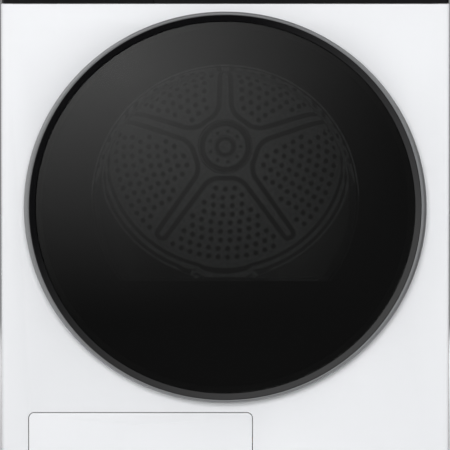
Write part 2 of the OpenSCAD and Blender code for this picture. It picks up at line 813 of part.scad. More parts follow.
module rear_duct() {
    leg_x0 = motor_x - 30;
    leg_x1 = motor_x + 86;
    leg_z0 = blower_top + 1;
    color("lightgray") difference() {
        union() {
            tube_y(0, drum_z, duct_r - duct_wall, duct_r, duct_y0, duct_y1);
            slab(duct_y1 - duct_wall, duct_y1) union() {
                translate([0, drum_z]) circle(r = duct_r);
                polygon(corners(leg_x0, leg_x1, leg_z0, drum_z));
            }
            difference() {
                slab(blower_y0, duct_y1) polygon(corners(leg_x0, leg_x1, leg_z0, drum_z));
                slab(blower_y0 + duct_wall, duct_y1 - duct_wall)
                    polygon(corners(leg_x0 + duct_wall, leg_x1 - duct_wall, leg_z0 - 1, drum_z + 1));
                bar_y(0, drum_z, duct_r - duct_wall, blower_y0 - 1, duct_y1 - duct_wall);
            }
            tube_y(0, drum_z, shaft_r + bearing_t, shaft_r + bearing_t + 9, bearing_y0, duct_y1);
        }
        bar_y(0, drum_z, shaft_r + bearing_t, bearing_y0 - 1, bearing_y1 + 8);
        intersection() {
            slab(blower_y0 + duct_wall, duct_y1 - duct_wall)
                polygon(corners(leg_x0 + duct_wall, leg_x1 - duct_wall, leg_z0, drum_z - 40));
            bar_y(0, drum_z, duct_r + 1, blower_y0, duct_y1);
        }
    }
}

module rear_bearing() {
    color("darkgoldenrod")
        tube_y(0, drum_z, shaft_r + run, shaft_r + bearing_t, bearing_y0, bearing_y1);
}

// ---------- rollers, belt and motor ----------

// Centres of the two rollers under the drum's neck.
function roller_axle_points() =
    let (d = neck_r + neck_t + gap + roller_r)
    [for (side = [-1, 1]) [side * d * sin(roller_angle), drum_z - d * cos(roller_angle)]];

roller_y0 = neck_y + 3;

module drum_roller(p) {
    color("dimgray") turned(p[0], p[1], [
        [roller_pin_r + run, roller_y0], [9, roller_y0], [9, roller_y0 + 3], [roller_r - 5, roller_y0 + 3],
        [roller_r - 5, roller_y0], [roller_r, roller_y0], [roller_r, roller_y0 + roller_w],
        [roller_r - 5, roller_y0 + roller_w], [roller_r - 5, roller_y0 + roller_w - 3],
        [9, roller_y0 + roller_w - 3], [9, roller_y0 + roller_w],
        [roller_pin_r + run, roller_y0 + roller_w]]);
}

module roller_left() {
    drum_roller(roller_axle_points()[0]);
}

module roller_right() {
    drum_roller(roller_axle_points()[1]);
}

module roller_pins() {
    color("gray") for (p = roller_axle_points()) union() {
        bar_y(p[0], p[1], roller_pin_r, web_y + 1.5, roller_y0 + roller_w + 2);
        bar_y(p[0], p[1], roller_pin_r + 2, roller_y0 + roller_w + 0.4, roller_y0 + roller_w + 2);
    }
}

// The belt runs round circles of signed radius: one pressed on from outside is negative.
belt_circles = [
    [[0, drum_z], drum_r + shell_t + gap],
    [[idler_x, idler_z], -(idler_r + gap + belt_t)],
    [[motor_x, motor_z], pulley_r + gap]];
function belt_normal(i) =
    let (a = belt_circles[i], b = belt_circles[(i + 1) % 3], d = b[0] - a[0])
    atan2(d[1], d[0]) - acos((a[1] - b[1]) / norm(d));
function onward(a, b) = b < a ? onward(a, b + 360) : b;
function belt_turn(i, t) =
    let (c = belt_circles[i], a0 = belt_normal((i + 2) % 3), raw = belt_normal(i),
         a1 = c[1] > 0 ? onward(a0, raw) : -onward(-a0, -raw), n = ceil(abs(a1 - a0) / 3))
    arc(c[0], c[1] + t, a0, a1, n);
function belt_path(t) = [for (i = [0:2]) each belt_turn(i, t)];

module drive_belt() {
    color([0.1, 0.1, 0.1]) slab(belt_y - belt_w / 2, belt_y + belt_w / 2) difference() {
        polygon(belt_path(belt_t));
        polygon(belt_path(0));
    }
}

module motor_body() {
    color("gray") difference() {
        union() {
            bar_y(motor_x, motor_z, motor_r, motor_y0, motor_y1);
            bar_y(motor_x, motor_z, 22, motor_y0 - 6, motor_y1 + 3);
            slab(motor_y0 - 4, motor_y0) polygon([[motor_x - 30, motor_z + 20], [motor_x - 30, motor_z - 45],
                [idler_pivot_x - 12, idler_pivot_z - 12], [idler_pivot_x - 12, idler_pivot_z + 12]]);
            bar_y(idler_pivot_x, idler_pivot_z, 4, arm_y0 - 2, motor_y0);
            box(motor_x + 20, motor_x + 70, motor_y0 + 50, motor_y0 + 100, motor_z + 20, motor_z + 60);
        }
        bar_y(motor_x, motor_z, motor_r - 4, motor_y0 + 4, motor_y1 - 4);
        bar_y(motor_x, motor_z, motor_shaft_r + run, motor_y0 - 10, motor_y1 + 10);
    }
}

module motor_shaft() {
    color("silver") union() {
        bar_y(motor_x, motor_z, motor_shaft_r, belt_y - 12, blower_y1 - 8);
        bar_y(motor_x, motor_z, motor_r - 14, motor_y0 + 30, motor_y1 - 30);
        turned(motor_x, motor_z, [[0, belt_y - 9], [pulley_r + 3, belt_y - 9],
            [pulley_r + 3, belt_y - 7], [pulley_r, belt_y - 7], [pulley_r, belt_y + 7],
            [pulley_r + 3, belt_y + 7], [pulley_r + 3, belt_y + 9], [0, belt_y + 9]]);
    }
}

module idler_arm() {
    d = [idler_x - idler_pivot_x, idler_z - idler_pivot_z];
    color("silver") difference() {
        union() {
            bar_y(idler_pivot_x, idler_pivot_z, 10, arm_y0, arm_y1);
            bar_y(idler_x, idler_z, 10, arm_y0, arm_y1);
            translate([idler_pivot_x, 0, idler_pivot_z]) rotate([0, -atan2(d[1], d[0]), 0])
                box(0, norm(d), arm_y0, arm_y1, -8, 8);
            bar_y(idler_x, idler_z, 4, arm_y0, belt_y + 9);
            bar_y(spring_x, spring_z1, 5, arm_y0, arm_y1);
            translate([idler_pivot_x, 0, idler_pivot_z])
                rotate([0, -atan2(spring_z1 - idler_pivot_z, spring_x - idler_pivot_x), 0])
                    box(0, norm([spring_x - idler_pivot_x, spring_z1 - idler_pivot_z]),
                        arm_y0, arm_y1, -4, 4);
        }
        bar_y(idler_pivot_x, idler_pivot_z, 4 + run, arm_y0 - 1, arm_y1 + 1);
        bar_y(spring_x, spring_z1, spring_hole_r, arm_y0 - 1, arm_y1 + 1);
    }
}

module idler_pulley() {
    color([0.2, 0.2, 0.2]) turned(idler_x, idler_z, [[4 + run, belt_y - 8], [8, belt_y - 8],
        [8, belt_y - 6], [idler_r - 3, belt_y - 6], [idler_r, belt_y - 6], [idler_r, belt_y + 6],
        [8, belt_y + 6], [8, belt_y + 8], [4 + run, belt_y + 8]]);
}

spring_x = 110;
spring_z1 = 108;
spring_z0 = 64;
spring_turns = 8;
spring_hole_r = 2;

// The tensioner's coil, hooked through the arm above and the base's ear below.
module idler_spring() {
    n = spring_turns * 10;
    coil_r = 3.2;
    y = arm_y0 - 4;
    route = concat(
        [[spring_x, arm_y1 + 1, spring_z1 - 1], [spring_x, arm_y0 - 2, spring_z1 - 1],
            [spring_x, y, spring_z1 - 3], [spring_x, y, spring_z1 - 6]],
        [for (i = [0:n]) let (a = i * 36, t = i / n)
            [spring_x + coil_r * sin(a), y - coil_r + coil_r * cos(a),
                spring_z1 - 8 - t * (spring_z1 - spring_z0 - 16)]],
        [[spring_x, y, spring_z0 + 6], [spring_x, y, spring_z0 + 3],
            [spring_x, arm_y0 - 2, spring_z0 + 1], [spring_x, arm_y1 + 1, spring_z0 + 1]]);
    color("silver") swept(route, 0.6, 6, [1, 0, 0.1]);
}

module blower_wheel() {
    y0 = blower_y0 + 7;
    y1 = blower_y1 - 12;
    color("gray") union() {
        tube_y(motor_x, motor_z, motor_shaft_r, wheel_r, y1 - 2, y1);
        tube_y(motor_x, motor_z, motor_shaft_r, 12, y1 - 16, y1);
        tube_y(motor_x, motor_z, wheel_r - 14, wheel_r, y0, y0 + 2);
        translate([motor_x, 0, motor_z]) for (i = [0:17]) rotate([0, i * 20, 0])
            box(wheel_r - 13.5, wheel_r - 1, y0 + 1, y1 - 1, -0.8, 0.8);
    }
}

module blower_housing() {
    r = wheel_r + 13;
    x1 = motor_x + 83;
    color("lightgray") difference() {
        slab(blower_y0, blower_y1) union() {
            translate([motor_x, motor_z]) circle(r = r);
            polygon(corners(motor_x - 26, x1, motor_z, blower_top));
        }
        slab(blower_y0 + 2.5, blower_y1 - 2.5) union() {
            translate([motor_x, motor_z]) circle(r = r - 2.5);
            polygon(corners(motor_x - 23.5, x1 - 2.5, motor_z, blower_top + 1));
        }
        bar_y(motor_x, motor_z, wheel_r - 18, blower_y0 - 1, blower_y0 + 4);
    }
}

// ---------- heat pump ----------

// A finned block with its copper tubes and their return bends.
module exchanger(y0, y1) {
    x0 = channel_x0 + 11;
    x1 = channel_x1 - 9;
    fins = 40;
    rows = 4;
    color("silver") union() {
        for (x = [x0, x1 - 2]) box(x, x + 2, y0, y1, fin_z0, fin_z1);
        for (i = [1:fins]) let (x = x0 + i * (x1 - x0 - 1) / (fins + 1))
            box(x, x + 0.8, y0, y1, fin_z0, fin_z1);
        for (row = [0:rows - 1], y = [y0 + 20, y1 - 20])
            translate([x0 - 4, y, fin_z0 + 18 + row * 37]) rotate([0, 90, 0])
                cylinder(r = 4, h = x1 - x0 + 6);
    }
}

evaporator_y = [channel_y0 + 41, channel_y0 + 116];
condenser_y = [channel_y0 + 138, channel_y0 + 256];

module evaporator() {
    exchanger(evaporator_y[0], evaporator_y[1]);
}

module condenser() {
    exchanger(condenser_y[0], condenser_y[1]);
}

module compressor() {
    r = compressor_r;
    z0 = foot_h + 3;
    color([0.15, 0.15, 0.16]) translate([compressor_x, compressor_y, 0]) union() {
        difference() {
            rotate_extrude() polygon(concat([[0, z0 + 16]], arc([r - 18, z0 + 34], 18, -90, 0),
                arc([r - 24, 176], 24, 0, 90), [[0, 200]]));
            rotate_extrude() polygon([[0, z0 + 22], [r - 14, z0 + 24], [r - 3.5, z0 + 38],
                [r - 3.5, 170], [r - 20, 190], [0, 194]]);
        }
        for (a = [30, 150, 270]) rotate(a) {
            box(r - 8, r + 16, -10, 10, z0 + 14, z0 + 18);
            translate([r + 8, 0, z0]) cylinder(r = 9, h = 14.5);
        }
        translate([0, 0, 199]) cylinder(r = 16, h = 12);
    }
}

// Routes of the refrigerant pipes, their Y measured from the compressor's axis.
pipe_r = 4;
pipe_end_x = channel_x1 - 7;
pipe_routes = [for (route = [
    [[180, 0, 200], [180, 0, 224], [60, 40, 224], [30, 54, 150], [pipe_end_x, 54, 150]],
    [[pipe_end_x, 52, 72], [22, 52, 72], [22, -10, 72], [pipe_end_x, -10, 72]],
    [[pipe_end_x, -46, 126], [30, -46, 126], [50, 0, 126], [compressor_x - compressor_r - 0.1, 0, 126]]])
    [for (p = route) p + [0, compressor_y, 0]]];

module refrigerant_pipes() {
    color("peru") for (p = pipe_routes) swept(rounded_route(p, 14), pipe_r, 10);
}

// The air channel seen from above: along the left side, then across to the blower.
module channel_plan(inset) {
    polygon([[channel_x0 + inset, channel_y0 + inset], [channel_x1 - inset, channel_y0 + inset],
        [channel_x1 - inset, cross_y0 + inset], [cross_x1 - inset, cross_y0 + inset],
        [cross_x1 - inset, cross_y1 - inset], [channel_x0 + inset, cross_y1 - inset]]);
}

module duct_cover() {
    w = channel_wall;
    color("silver") difference() {
        plate_z(base_h, channel_top) channel_plan(0);
        plate_z(base_h - 1, channel_top - w) channel_plan(w);
        slab(channel_y0 - 1, channel_y0 + w + 1)
            round_rect(channel_x0 + 21, channel_x1 - 21, base_h + 4, 158, 8);
        box(channel_x0 + 9, channel_x1 - 9, filter_y0 + 2, filter_y1, channel_top - 4, channel_top + 1);
        bar_y(motor_x, motor_z, motor_shaft_r + 4, cross_y0 - 1, cross_y0 + w + 1);
        bar_y(motor_x, motor_z, wheel_r - 18, cross_y1 - w - 1, cross_y1 + 1);
        for (p = pipe_routes, e = [p[0], p[len(p) - 1]])
            if (e[0] < 0 && e[2] > base_h)
                translate([channel_x1 - 5, e[1], e[2]]) rotate([0, 90, 0]) cylinder(r = pipe_r + 1, h = 8);
    }
}

lid_y0 = channel_y0 - 5;
lever_z = 110;
lever_xs = [channel_x0 + 33, channel_x1 - 33];

module service_lid() {
    color("gainsboro") difference() {
        union() {
            slab(lid_y0, channel_y0 - 0.3)
                round_rect(channel_x0 + 9, channel_x1 - 9, base_h - 6, 168, 10);
            slab(channel_y0 - 0.3, channel_y0 + 5)
                round_rect(channel_x0 + 23, channel_x1 - 23, base_h + 6, 156, 7);
        }
        slab(channel_y0 - 1, channel_y0 + 6)
            round_rect(channel_x0 + 51, channel_x1 - 51, base_h + 9, 153, 5);
        for (x = lever_xs) bar_y(x, lever_z, 4 + run, lid_y0 - 1, lid_y0 + 12);
    }
}

module lid_lever(x) {
    color("gold") union() {
        slab(lid_y0 - 6.5, lid_y0 - 0.4) round_rect(x - 8, x + 8, lever_z - 24, lever_z + 24, 7.9);
        bar_y(x, lever_z, 4, lid_y0 - 5, lid_y0 + 7);
    }
}

module lid_lever_left() {
    lid_lever(lever_xs[0]);
}

module lid_lever_right() {
    lid_lever(lever_xs[1]);
}

pump_x0 = 4;
pump_y = compressor_y + 104;
spout_x = pump_x0 + 16;

module condensate_pump() {
    color("dimgray") union() {
        difference() {
            box(pump_x0, pump_x0 + 58, pump_y - 29, pump_y + 28, foot_h + 3, 84);
            box(pump_x0 + 3, pump_x0 + 55, pump_y - 26, pump_y + 25, foot_h + 6, 70);
        }
        translate([spout_x, pump_y, 83]) cylinder(r = hose_r, h = 12);
        translate([pump_x0 + 38, pump_y, 83]) cylinder(r = 14, h = 20);
    }
}

// The hose from the pump's spout, over the channel and up the back corner to the tank's tray.
hose_r = 6;
hose_x = 38 - half_w;
hose_y = back_y - 40;
hose_route = [[spout_x, pump_y, 95], [spout_x, pump_y, 204], [-60, pump_y, 204], [-150, 80, 204],
    [hose_x, 200, 204], [hose_x, hose_y, 230], [hose_x, hose_y, 770], [hose_x, 200, 770],
    [hose_x, tank_y1 + tray_back + 0.5, 770]];

module drain_hose() {
    color("darkgray") swept(rounded_route(hose_route, 24), hose_r, 10);
}

module mains_inlet() {
    y1 = side_back_y + sheet;
    color("dimgray") difference() {
        union() {
            box(inlet_x - 30, inlet_x + 30, y1 - 26, y1, inlet_z - 18, inlet_z + 18);
            slab(y1, back_y) round_rect(inlet_x - 35, inlet_x + 35, inlet_z - 23, inlet_z + 23, 4);
        }
        box(inlet_x - 27, inlet_x + 27, y1 - 23, y1 - 4, inlet_z - 15, inlet_z + 15);
        bar_y(inlet_x, inlet_z, 4.5, y1 - 10, back_y + 1);
    }
}

// ---------- door ----------

module door_ring() {
    w = door_w / 2;
    h = door_h / 2;
    iw = ring_in_w / 2;
    ih = ring_in_h / 2;
    round_r = min(4, (door_h - ring_in_h) / 2 - 0.5);
    color("gray") oval_ring(concat(
        [[iw, ih, ring_back_y], [w - 1.5, h - 1.5, ring_back_y], [w, h, ring_back_y - 1.5]],
        [for (p = arc([0, 0], round_r, 0, 90, 5))
            [w - round_r + p[0], h - round_r + p[0], door_front_y + round_r - p[1]]],
        [[iw, ih, door_front_y + 0.5]]));
}

module door_bezel() {
    g = [glass_w / 2, glass_h / 2];
    r = [ring_in_w / 2, ring_in_h / 2];
    lip = 9;
    color([0.05, 0.05, 0.05]) oval_ring([
        [r[0], r[1], door_front_y + 0.6], [g[0], g[1], door_front_y + 8.6],
        [g[0], g[1], door_front_y + 15], [g[0] - lip, g[1] - lip, door_front_y + 15],
        [g[0] - lip, g[1] - lip, ring_back_y], [r[0], r[1], ring_back_y]]);
}

glass_fit = 0.4;
glass_t = 4;
glass_dome = 7;

module door_glass() {
    w = glass_w / 2 - glass_fit;
    h = glass_h / 2 - glass_fit;
    edge_y = door_front_y + 10.5;
    n = 6;
    color([0.1, 0.1, 0.12]) oval_plate(concat(
        [for (i = [0:n]) let (t = i / n) [w * t, h * t, edge_y - glass_dome * (1 - t * t)]],
        [for (i = [n:-1:0]) let (t = i / n) [w * t, h * t, edge_y + glass_t - glass_dome * (1 - t * t)]]));
}

// The see-through part of the door, cut level at the lint filter.
module window_outline(grow) {
    difference() {
        translate([0, window_z]) circle(r = window_r + grow);
        polygon(corners(-cabinet_w, cabinet_w, 0, floor_z + 1 - grow));
    }
}

hook_y1 = front_y + 34;

module door_frame() {
    color([0.08, 0.08, 0.085]) difference() {
        union() {
            slab(ring_back_y, frame_y) translate([0, door_z]) circle(r = door_h / 2 - 5);
            tube_y(0, door_z, plug_r - 3, plug_r, ring_back_y + 1, plug_back_y - 4);
            slab(plug_back_y - 7, plug_back_y - 4) translate([0, door_z]) circle(r = plug_r);
        }
        slab(ring_back_y - 1, frame_y + 1) window_outline(0);
        slab(plug_back_y - 9, plug_back_y) window_outline(8);
        slab(ring_back_y - 1, frame_y + 1)
            polygon(corners(hinge_x - 9, hinge_x + 40, door_z - hinge_half - 4, door_z + hinge_half + 4));
        slab(plug_back_y - 9, plug_back_y)
            polygon(corners(hook_x - 4, hook_x + 4, door_z - 9, door_z + 9));
    }
}

module door_window() {
    r = window_r + 6;
    y0 = frame_y;
    t = 3;
    deep = 32;
    color([0.6, 0.65, 0.7]) difference() {
        turned(0, window_z, concat([[0, y0 + deep]],
            [for (i = [1:6]) [r * 0.135 * i, y0 + deep - 0.28 * i * i]],
            [[r - 14, y0 + 12], [r - 9, y0 + t], [r, y0 + t], [r, y0], [r - 11, y0], [r - 17, y0 + 12]],
            [for (i = [6:-1:1]) [r * 0.133 * i, y0 + deep - t - 0.28 * i * i]], [[0, y0 + deep - t]]));
        box(-cabinet_w, cabinet_w, y0 - 1, y0 + deep + 1, 0, floor_z - 5);
    }
}

seal_z = 454;

module door_seal() {
    color("dimgray") difference() {
        turned(0, seal_z, [[200, plug_back_y - 4], [211, plug_back_y - 4], [209, plug_back_y + 1.6],
            [204, plug_back_y + 1.6]]);
        box(hook_x - 12, hook_x + 12, plug_back_y - 5, plug_back_y + 3, door_z - 15, door_z + 15);
    }
}

module knuckle(z0, z1, bore) {
    translate([hinge_x, hinge_y, z0]) difference() {
        cylinder(r = hinge_knuckle_r, h = z1 - z0);
        if (bore > 0) translate([0, 0, -1]) cylinder(r = bore, h = z1 - z0 + 2);
    }
}

hinge_base_half = 22;

module hinge_base() {
    h = hinge_base_half;
    color("gray") union() {
        slab(front_y - 2.5, front_y)
            round_rect(mouth_r + 5, hinge_x + 4, door_z - h - 22, door_z + h + 22, 4);
        box(hinge_x - hinge_knuckle_r, hinge_x + 1, hinge_y, front_y - 2, door_z - h, door_z + h);
        knuckle(door_z - h, door_z + h, 0);
        translate([hinge_x, hinge_y, door_z - hinge_half]) cylinder(r = hinge_pin_r, h = 2 * hinge_half);
    }
}

module hinge_arm() {
    h = hinge_base_half + 0.4;
    color("silver") difference() {
        union() {
            for (side = [-1, 1]) {
                z0 = side > 0 ? door_z + h : door_z - hinge_half;
                z1 = side > 0 ? door_z + hinge_half : door_z - h;
                knuckle(z0, z1, 0);
                box(hinge_x - 22, hinge_x, frame_y, frame_y + 2.2, z0, z1);
            }
            box(hinge_x - 34, hinge_x - 12, frame_y, frame_y + 2.2,
                door_z - hinge_half, door_z + hinge_half);
        }
        translate([hinge_x, hinge_y, door_z - hinge_half - 1])
            cylinder(r = hinge_pin_r + run, h = 2 * hinge_half + 2);
    }
}

module door_hook() {
    color("silver") union() {
        box(hook_x - 3, hook_x + 3, plug_back_y - 16, hook_y1, door_z - 8, door_z + 8);
        box(hook_x - 3, hook_x + 6, hook_y1 - 4, hook_y1, door_z - 8, door_z + 8);
        box(hook_x - 8, hook_x + 8, plug_back_y - 16, plug_back_y - 13, door_z - 14, door_z + 14);
    }
}

module door_catch() {
    y0 = plate_y + plate_t;
    color("dimgray") difference() {
        box(hook_x - 22, hook_x + 14, y0, y0 + 28, door_z - 20, door_z + 20);
        box(hook_x - 10, hook_x + 10, y0 - 1, y0 + 24, door_z - 13, door_z + 13);
    }
}

// ---------- what is drawn ----------

side_panel_left();
side_panel_right();
rear_panel();
front_panel();
worktop();
base_tub();
levelling_feet();
control_fascia();
control_board();
selector_knob();
power_button();
start_button();
tank_front();
tank_body();
tank_tray();
front_bulkhead();
front_seal();
drum_lamp();
lint_filter();
filter_duct();
drum_shell();
drum_front_ring();
drum_back();
drum_lifters();
drum_shaft();
rear_duct();
rear_bearing();
roller_left();
roller_right();
roller_pins();
drive_belt();
motor_body();
motor_shaft();
idler_arm();
idler_pulley();
idler_spring();
blower_wheel();
blower_housing();
evaporator();
condenser();
compressor();
refrigerant_pipes();
duct_cover();
service_lid();
lid_lever_left();
lid_lever_right();
service_flap();
condensate_pump();
drain_hose();
mains_inlet();
door_ring();
door_bezel();
door_glass();
door_frame();
door_window();
door_seal();
hinge_base();
hinge_arm();
door_hook();
door_catch();
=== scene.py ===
"""Looks of a front-loading heat pump clothes dryer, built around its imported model."""
import json
import math

import bmesh
import bpy
from mathutils import Matrix, Vector


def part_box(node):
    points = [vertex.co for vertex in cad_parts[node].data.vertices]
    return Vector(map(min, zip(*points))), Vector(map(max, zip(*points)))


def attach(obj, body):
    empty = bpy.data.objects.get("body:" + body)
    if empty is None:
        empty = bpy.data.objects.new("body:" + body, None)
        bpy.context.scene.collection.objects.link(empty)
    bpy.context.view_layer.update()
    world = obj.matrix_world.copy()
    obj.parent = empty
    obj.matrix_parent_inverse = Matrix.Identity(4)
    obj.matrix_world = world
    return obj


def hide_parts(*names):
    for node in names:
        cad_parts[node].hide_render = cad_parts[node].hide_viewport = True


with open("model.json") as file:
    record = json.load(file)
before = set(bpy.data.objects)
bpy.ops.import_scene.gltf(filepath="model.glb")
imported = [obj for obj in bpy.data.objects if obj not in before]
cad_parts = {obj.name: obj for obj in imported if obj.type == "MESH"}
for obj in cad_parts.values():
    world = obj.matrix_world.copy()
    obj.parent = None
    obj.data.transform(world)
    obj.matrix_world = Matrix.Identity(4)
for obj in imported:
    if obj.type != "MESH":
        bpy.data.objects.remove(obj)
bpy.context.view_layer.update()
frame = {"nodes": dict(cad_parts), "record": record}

bl_info = {
    "name": "Clothes Dryer Looks",
    "version": (1, 0, 0),
    "blender": (4, 5, 0),
    "location": "View3D > Sidebar > Dryer",
    "description": "Builds the finished pieces and surfaces of a clothes dryer round its packed model",
    "category": "Object",
}

BODY_OF = {node: body for body, nodes in frame["record"]["behaviour"]["bodies"].items() for node in nodes}
RING_LOW, RING_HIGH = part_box("door_ring")
BEZEL_LOW, BEZEL_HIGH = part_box("door_bezel")
GLASS_LOW, GLASS_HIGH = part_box("door_glass")
DRUM_LOW, DRUM_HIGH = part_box("drum_shell")
BACK_LOW, BACK_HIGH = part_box("drum_back")
DOOR_CENTRE = (RING_LOW + RING_HIGH) / 2
DRUM_CENTRE = (DRUM_LOW + DRUM_HIGH) / 2
DOOR_AXIS = DOOR_CENTRE * Vector((1, 0, 1))
DRUM_AXIS = DRUM_CENTRE * Vector((1, 0, 1))
FRONT_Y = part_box("front_panel")[0].y
UPRIGHT = Matrix.Rotation(math.pi / 2, 4, "X")
SPOKES = 5
HUB_FLAT = 0.051
SMOOTH_ANGLE = 34.0


# ---------- sizes and colours that a user may change ----------


class DryerSizes(bpy.types.PropertyGroup):
    """Sizes of the finished pieces"""

    edge_softness: bpy.props.FloatProperty(
        name="Edge Softness", description="Width of the round on a sheet or moulding edge",
        default=0.0008, min=0.0002, max=0.003, unit="LENGTH")
    glass_bulge: bpy.props.FloatProperty(
        name="Glass Bulge", description="How far the door glass rises at its centre",
        default=0.0069, min=0.001, max=0.007, unit="LENGTH")
    hole_radius: bpy.props.FloatProperty(
        name="Hole Radius", description="Radius of a hole in the drum's back",
        default=0.0039, min=0.002, max=0.005, unit="LENGTH")
    hole_pitch: bpy.props.FloatProperty(
        name="Hole Pitch", description="Distance between neighbouring holes in the drum's back",
        default=0.0142, min=0.01, max=0.03, unit="LENGTH")
    field_radius: bpy.props.FloatProperty(
        name="Field Radius", description="Outer radius of the perforated field",
        default=0.176, min=0.1, max=0.2, unit="LENGTH")
    spoke_width: bpy.props.FloatProperty(
        name="Spoke Width", description="Width of a spoke at its foot",
        default=0.0255, min=0.01, max=0.04, unit="LENGTH")
    spoke_reach: bpy.props.FloatProperty(
        name="Spoke Reach", description="Distance from the drum's axis to a spoke's end",
        default=0.172, min=0.1, max=0.2, unit="LENGTH")
    camera_distance: bpy.props.FloatProperty(
        name="Camera Distance", description="Distance from the front panel to the camera",
        default=4.2, min=1.0, max=10.0, unit="LENGTH")


def colour_property(name, description, default):
    return bpy.props.FloatVectorProperty(
        name=name, description=description, default=default, size=4, min=0.0, max=1.0, subtype="COLOR")


class DryerColours(bpy.types.PropertyGroup):
    """Colours of the finished surfaces"""

    enamel: colour_property("Enamel", "White of the cabinet", (0.84, 0.85, 0.872, 1.0))
    ring: colour_property("Ring", "Lacquer of the door's ring", (0.29, 0.295, 0.303, 1.0))
    gloss_black: colour_property("Gloss Black", "Polished band and bezel", (0.006, 0.006, 0.0065, 1.0))
    satin_black: colour_property("Satin Black", "Grained mouldings", (0.012, 0.012, 0.0125, 1.0))
    smoked: colour_property("Smoked Glass", "Tint of the door's glass", (0.22, 0.226, 0.22, 1.0))
    moulding: colour_property("Moulding", "Light inner mouldings", (0.62, 0.63, 0.64, 1.0))
    felt: colour_property("Felt", "The drum's seals", (0.42, 0.33, 0.22, 1.0))


def sizes():
    return bpy.context.scene.dryer_sizes


def colours():
    return bpy.context.scene.dryer_colours


# ---------- shader nodes ----------


def add_node(tree, kind, **settings):
    made = tree.nodes.new(kind)
    for key, value in settings.items():
        setattr(made, key, value)
    return made


def feed(tree, socket, value):
    """Puts a number, a colour or another node's output into a socket."""
    if isinstance(value, bpy.types.NodeSocket):
        tree.links.new(value, socket)
    elif value is not None:
        socket.default_value = value


def maths(tree, operation, first, second=None, third=None, clamp=False):
    made = add_node(tree, "ShaderNodeMath", operation=operation, use_clamp=clamp)
    for socket, value in zip(made.inputs, (first, second, third)):
        feed(tree, socket, value)
    return made.outputs[0]


def mixed(tree, share, first, second):
    made = add_node(tree, "ShaderNodeMix", data_type="RGBA")
    feed(tree, made.inputs[0], share)
    feed(tree, made.inputs[6], first)
    feed(tree, made.inputs[7], second)
    return made.outputs[2]


def new_group(name, inputs, outputs):
    """A shader node group with named sockets: each is (name, kind, default)."""
    tree = bpy.data.node_groups.new(name, "ShaderNodeTree")
    for label, kind, default in inputs:
        socket = tree.interface.new_socket(label, in_out="INPUT", socket_type=kind)
        socket.default_value = default
    for label, kind in outputs:
        tree.interface.new_socket(label, in_out="OUTPUT", socket_type=kind)
    return tree, add_node(tree, "NodeGroupInput"), add_node(tree, "NodeGroupOutput")


FLOAT = "NodeSocketFloat"
COLOUR = "NodeSocketColor"
VECTOR = "NodeSocketVector"
GREY = (0.5, 0.5, 0.5, 1.0)


def object_noise(tree, scale, detail=4.0, stretch=None):
    place = add_node(tree, "ShaderNodeTexCoord").outputs["Object"]
    if stretch is not None:
        mapping = add_node(tree, "ShaderNodeMapping")
        tree.links.new(place, mapping.inputs["Vector"])
        feed(tree, mapping.inputs["Scale"], stretch)
        place = mapping.outputs["Vector"]
    made = add_node(tree, "ShaderNodeTexNoise")
    tree.links.new(place, made.inputs["Vector"])
    feed(tree, made.inputs["Scale"], scale)
    made.inputs["Detail"].default_value = detail
    return made.outputs["Fac"]


def tone_drift_group():
    """Slow change of a colour over a surface, as in paint, plastic and rolled sheet."""
    tree, given, result = new_group(
        "Tone drift", [("Colour", COLOUR, GREY), ("Amount", FLOAT, 0.05), ("Scale", FLOAT, 6.0)],
        [("Colour", COLOUR)])
    noise = object_noise(tree, given.outputs["Scale"], 5.0)
    shift = maths(tree, "MULTIPLY_ADD", noise, 2.0, -1.0)
    gain = maths(tree, "MULTIPLY_ADD", shift, given.outputs["Amount"], 1.0)
    scaled = add_node(tree, "ShaderNodeVectorMath", operation="SCALE")
    tree.links.new(given.outputs["Colour"], scaled.inputs[0])
    tree.links.new(gain, scaled.inputs["Scale"])
    tree.links.new(scaled.outputs[0], result.inputs["Colour"])
    return tree


def gloss_drift_group():
    """Smears and handling marks that change how sharply a surface reflects."""
    tree, given, result = new_group(
        "Gloss drift", [("Roughness", FLOAT, 0.4), ("Amount", FLOAT, 0.1), ("Scale", FLOAT, 9.0)],
        [("Roughness", FLOAT)])
    broad = object_noise(tree, given.outputs["Scale"], 3.0)
    fine_scale = maths(tree, "MULTIPLY", given.outputs["Scale"], 14.0)
    fine = object_noise(tree, fine_scale, 2.0)
    both = maths(tree, "MULTIPLY_ADD", fine, 0.4, maths(tree, "MULTIPLY", broad, 0.6))
    shift = maths(tree, "MULTIPLY_ADD", both, 2.0, -1.0)
    rough = maths(
        tree, "MULTIPLY_ADD", shift, given.outputs["Amount"], given.outputs["Roughness"], clamp=True)
    tree.links.new(rough, result.inputs["Roughness"])
    return tree


def grain_group():
    """Fine moulded grain, or lines drawn out along one way when Stretch is uneven."""
    tree, given, result = new_group(
        "Grain", [("Scale", FLOAT, 400.0), ("Stretch", VECTOR, (1.0, 1.0, 1.0))],
        [("Height", FLOAT), ("Fleck", FLOAT)])
    noise = object_noise(tree, given.outputs["Scale"], 3.0, given.outputs["Stretch"])
    fleck = maths(tree, "SMOOTH_MAX", maths(tree, "MULTIPLY_ADD", noise, 2.4, -0.9), 0.0, 0.1)
    tree.links.new(noise, result.inputs["Height"])
    tree.links.new(fleck, result.inputs["Fleck"])
    return tree


